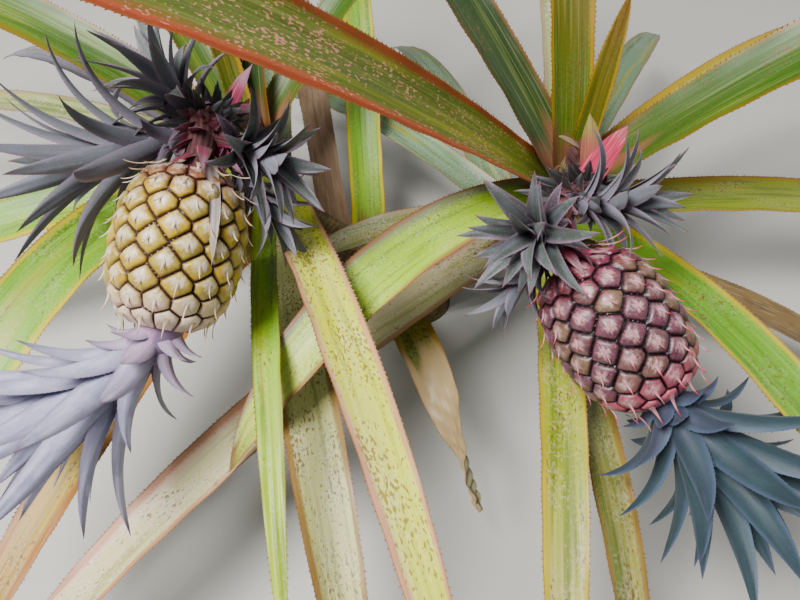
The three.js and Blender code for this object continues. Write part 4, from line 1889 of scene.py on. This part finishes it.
def make_shoots(finishes: dict[str, bpy.types.Material]) -> list[Shoot]:
    """Describes the two shoots, with the sizes of the solids.

    Args:
        finishes: the materials by name.

    Returns:
        The right-hand shoot and the left-hand one.
    """
    right = Shoot(
        name="right",
        stem_name="main_stem",
        stem=[(0, 0, 0), (0, 0, 80), (188, 50, 60), (168, 0, 268)],
        stem_radius=30,
        leaves=[
            LeafSpec("fallen_brown", 338, 8, 46, -5, 0, 540, 48, "leaf_brown", "dry"),
            LeafSpec("rear_low", 108, 12, 50, 0, 0, 560, 50, "leaf_green", "grey"),
            LeafSpec("front_under", 274.5, 23, 57, -5, -12, 620, 43, "leaf_pale", "under"),
            LeafSpec("rear_left_low", 136, 10, 46, 0, 0, 520, 50, "leaf_green", "grey"),
            LeafSpec("long_beige", 222, 11, 33, 10, 6, 800, 62, "leaf_pale", "beige"),
            LeafSpec("rear_right_low", 60, 14, 48, 0, 0, 560, 52, "leaf_dark", "grey"),
            LeafSpec("pale_left", 190, 14, 54, 0, 0, 330, 46, "leaf_pale", "mealy"),
            LeafSpec("front", 262, 21, 57, 4, 0, 640, 45, "leaf_yellow", "front"),
            LeafSpec("right_low", 0, 9.5, 46, -9, 10, 660, 55, "leaf_green", "yellowing"),
            LeafSpec("front_right", 291, 31, 58, -5, 6, 620, 49, "leaf_green", "grass"),
            LeafSpec("right_arching", 35, 24, 52, -26, 16, 640, 54, "leaf_yellow", "yellowing"),
            LeafSpec(
                "channelled_left", 221, 34, 88, 9, -4, 530, 68, "leaf_green", "channelled", fold=0.1
            ),
            LeafSpec("rear_middle", 89, 31, 56, 0, 0, 600, 48, "leaf_yellow", "mealy"),
            LeafSpec("red_edged", 203, 46, 25, -5, -37, 840, 71, "leaf_red", "red"),
            LeafSpec("right_high", 355, 52, 45, 0, 15, 700, 66, "leaf_green", "bright"),
            LeafSpec("dark_rear_left", 133, 42, 42, 1, -6, 680, 58, "leaf_dark", "deep"),
            LeafSpec("upright", 104, 66, 34, 0, -20, 560, 48, "leaf_yellow", "olive", 0.955),
            LeafSpec("young_rear", 66, 82, 14, 0, 0, 180, 26, "leaf_green", "olive", 0.985),
        ],
        stalk=[(164, -36, 304), (155, -80, 326), (137, -122, 350), (110, -160, 370)],
        bracts=[
            BractSpec(0.22, 205, 58, 70, 26, "sheath_bract"),
            BractSpec(0.4, 95, 60, 60, 24, "sheath_bract"),
            BractSpec(0.5, 222, 42, 60, 24, "dusky_bract"),
            BractSpec(0.58, 50, 34, 74, 26, "pink_bract"),
        ],
        slips={
            "left": [
                SlipSpec((97, -185, 372), (72, -218, 398), 12, 8, 62, 18, 0),
                SlipSpec((98, -198, 362), (64, -228, 338), 9, 6, 50, 15, 20),
            ],
            "right": [SlipSpec((112, -158, 366), (148, -178, 390), 12, 8, 66, 18, 0)],
        },
        fruit_base=(111, -215, 357),
        fruit_axis=(0.556, -0.698, -0.457),
        crown_bend=(0.3, 0, -0.15),
        crown_length=130,
        crown_width=29,
        crown_turn=105,
        crown_rise=38,
        crown_droop=80,
        crown_leaves=50,
        crown_scales=0.3,
        pale=(1.0, 0.16),
        has_strap=False,
        finishes=finishes,
        own=1.0,
    )
    left = Shoot(
        name="left",
        stem_name="side_stem",
        stem=[(-6, 4, 50), (-60, 24, 62), (-232, 110, 60), (-207, 60, 268)],
        stem_radius=25,
        leaves=[
            LeafSpec("rear_of_joint", 94, 48, 45, 0, 0, 500, 50, "leaf_green", "fresh", 0.2),
            LeafSpec("dead_tip", 291, 40, 90, 0, 0, 420, 50, "leaf_green", "dying", 0.27, wither=0.58),
            LeafSpec("dry_rear", 102, 50, 45, 0, 0, 480, 42, "leaf_brown", "husk", 0.35),
            LeafSpec("front_left_low", 248, 18, 43, 2, -4, 640, 54, "leaf_yellow", "ochre"),
            LeafSpec("rear_low", 136, 12, 50, 0, 0, 540, 50, "leaf_green", "grey"),
            LeafSpec("front_wide", 282, 20, 53, 2, 4, 680, 60, "leaf_pale", "wide"),
            LeafSpec("whitish_rear_left", 146, 17, 50, 1, 0, 600, 52, "leaf_pale", "lilac"),
            LeafSpec("rear", 92, 22, 52, 0, 0, 560, 50, "leaf_green", "grey"),
            LeafSpec("broad_left", 198, 14, 60, 7, -26, 640, 65, "leaf_green", "fresh"),
            LeafSpec("narrow_front", 280.5, 29, 58, -3, 0, 600, 27, "leaf_green", "narrow"),
            LeafSpec("edge_on_left", 165, 13, 44, 0, 0, 600, 44, "leaf_pale", "mealy"),
            LeafSpec("broad_left_front", 238, 33, 86, 23, -14, 582, 68, "leaf_green", "fresh"),
            LeafSpec("left_rear", 159, 31, 55, 1, -15, 660, 63, "leaf_green", "bright", 0.85),
            LeafSpec("speckled_front", 292, 28, 57, -6, -14, 720, 47, "leaf_yellow", "speckled"),
            LeafSpec("rear_left_high", 128, 44, 50, 0, 0, 600, 50, "leaf_green", "bright"),
            LeafSpec("rear_right", 49, 40, 54, 0, 0, 560, 46, "leaf_green", "bright"),
            LeafSpec("rear_upright", 92, 60, 40, 0, 0, 500, 46, "leaf_dark", "deep"),
            LeafSpec("short_upright", 116, 70, 24, 0, 0, 240, 30, "leaf_yellow", "olive"),
        ],
        stalk=[(-208, 22, 312), (-206, -24, 350), (-201, -75, 390), (-195, -112, 414)],
        bracts=[
            BractSpec(0.18, 300, 60, 70, 26, "sheath_bract"),
            BractSpec(0.34, 40, 60, 62, 24, "dusky_bract"),
            BractSpec(0.44, 330, 40, 60, 24, "dusky_bract"),
            BractSpec(0.52, 190, 30, 62, 24, "dusky_bract"),
        ],
        slips={
            "left": [SlipSpec((-207, -112, 408), (-264, -126, 396), 13, 9, 118, 24, 5)],
            "rear": [SlipSpec((-205, -88, 392), (-225, -80, 428), 12, 8, 76, 20, 10)],
            "right": [
                SlipSpec((-181, -122, 410), (-134, -158, 418), 12, 8, 64, 19, 15),
                SlipSpec((-180, -128, 400), (-137, -166, 361), 9, 6, 56, 16, 35),
            ],
        },
        fruit_base=(-196, -157, 404),
        fruit_axis=(-0.207, -0.82, -0.537),
        crown_bend=(-0.8, 0, 0),
        crown_length=145,
        crown_width=29,
        crown_turn=30,
        crown_rise=50,
        crown_droop=62,
        crown_leaves=46,
        crown_scales=0.42,
        pale=(1.0, 0.4),
        has_strap=True,
        finishes=finishes,
        own=2.0,
    )
    return [right, left]


@dataclass
class Studio:
    """The pale floor, the soft light and the camera at the photograph's viewing angle.

    Attributes:
        floor_half: half the floor's side, in metres.
        camera_place: where the camera stands, in metres.
        camera_pitch: how far it looks below the horizon, in degrees.
        lens: its focal length on a 36 mm sensor.
    """

    floor_half: float = 6.0
    camera_place: tuple[float, float, float] = (-0.03, -0.54, 0.77)
    camera_pitch: float = 55.0
    lens: float = 28.8

    def lay_floor(self) -> None:
        """Lays the floor at ground level."""
        half = self.floor_half
        mesh = bpy.data.meshes.new("studio_floor")
        corners = [(-half, -half, 0), (half, -half, 0), (half, half, 0), (-half, half, 0)]
        mesh.from_pydata(corners, [], [(0, 1, 2, 3)])
        mesh.materials.append(StudioPaper().material())
        floor = bpy.data.objects.new("studio_floor", mesh)
        bpy.context.scene.collection.objects.link(floor)

    def hang_light(
        self, name: str, place: tuple[float, float, float], size: float, power: float
    ) -> None:
        """Hangs a square soft light that faces the plant.

        Args:
            name: its name.
            place: where it hangs, in metres.
            size: its side, in metres.
            power: its power in watts.
        """
        data = bpy.data.lights.new(name, "AREA")
        data.size = size
        data.energy = power
        lamp = bpy.data.objects.new(name, data)
        lamp.location = place
        towards = Vector((0, 0, 0.2)) - Vector(place)
        lamp.rotation_euler = towards.to_track_quat("-Z", "Y").to_euler()
        bpy.context.scene.collection.objects.link(lamp)

    def light(self) -> None:
        """Lights the plant like a bright overcast day."""
        world = bpy.data.worlds.new("overcast")
        world.use_nodes = True
        world.node_tree.nodes["Background"].inputs["Color"].default_value = linear("#e9eef4")
        world.node_tree.nodes["Background"].inputs["Strength"].default_value = 0.3
        bpy.context.scene.world = world
        self.hang_light("key_softbox", (-0.9, -0.6, 2.2), 0.9, 125)
        self.hang_light("fill_softbox", (1.8, 0.6, 1.8), 2.0, 16)

    def stand_camera(self) -> None:
        """Stands the camera where the photograph was taken from."""
        data = bpy.data.cameras.new("camera")
        data.lens = self.lens
        data.clip_start = 0.01
        camera = bpy.data.objects.new("camera", data)
        camera.location = self.camera_place
        camera.rotation_euler = (math.radians(90 - self.camera_pitch), 0, 0)
        bpy.context.scene.collection.objects.link(camera)
        bpy.context.scene.camera = camera

    def set_up(self) -> None:
        """Makes the whole studio."""
        self.stand_camera()
        self.lay_floor()
        self.light()


def main() -> None:
    """Builds the studio and the plant."""
    logging.basicConfig(level=logging.INFO, format="%(message)s")
    Studio().set_up()
    for shoot in make_shoots(make_finishes()):
        shoot.grow()
        LOG.info("%s shoot done", shoot.name)


if __name__ == "__main__":
    main()
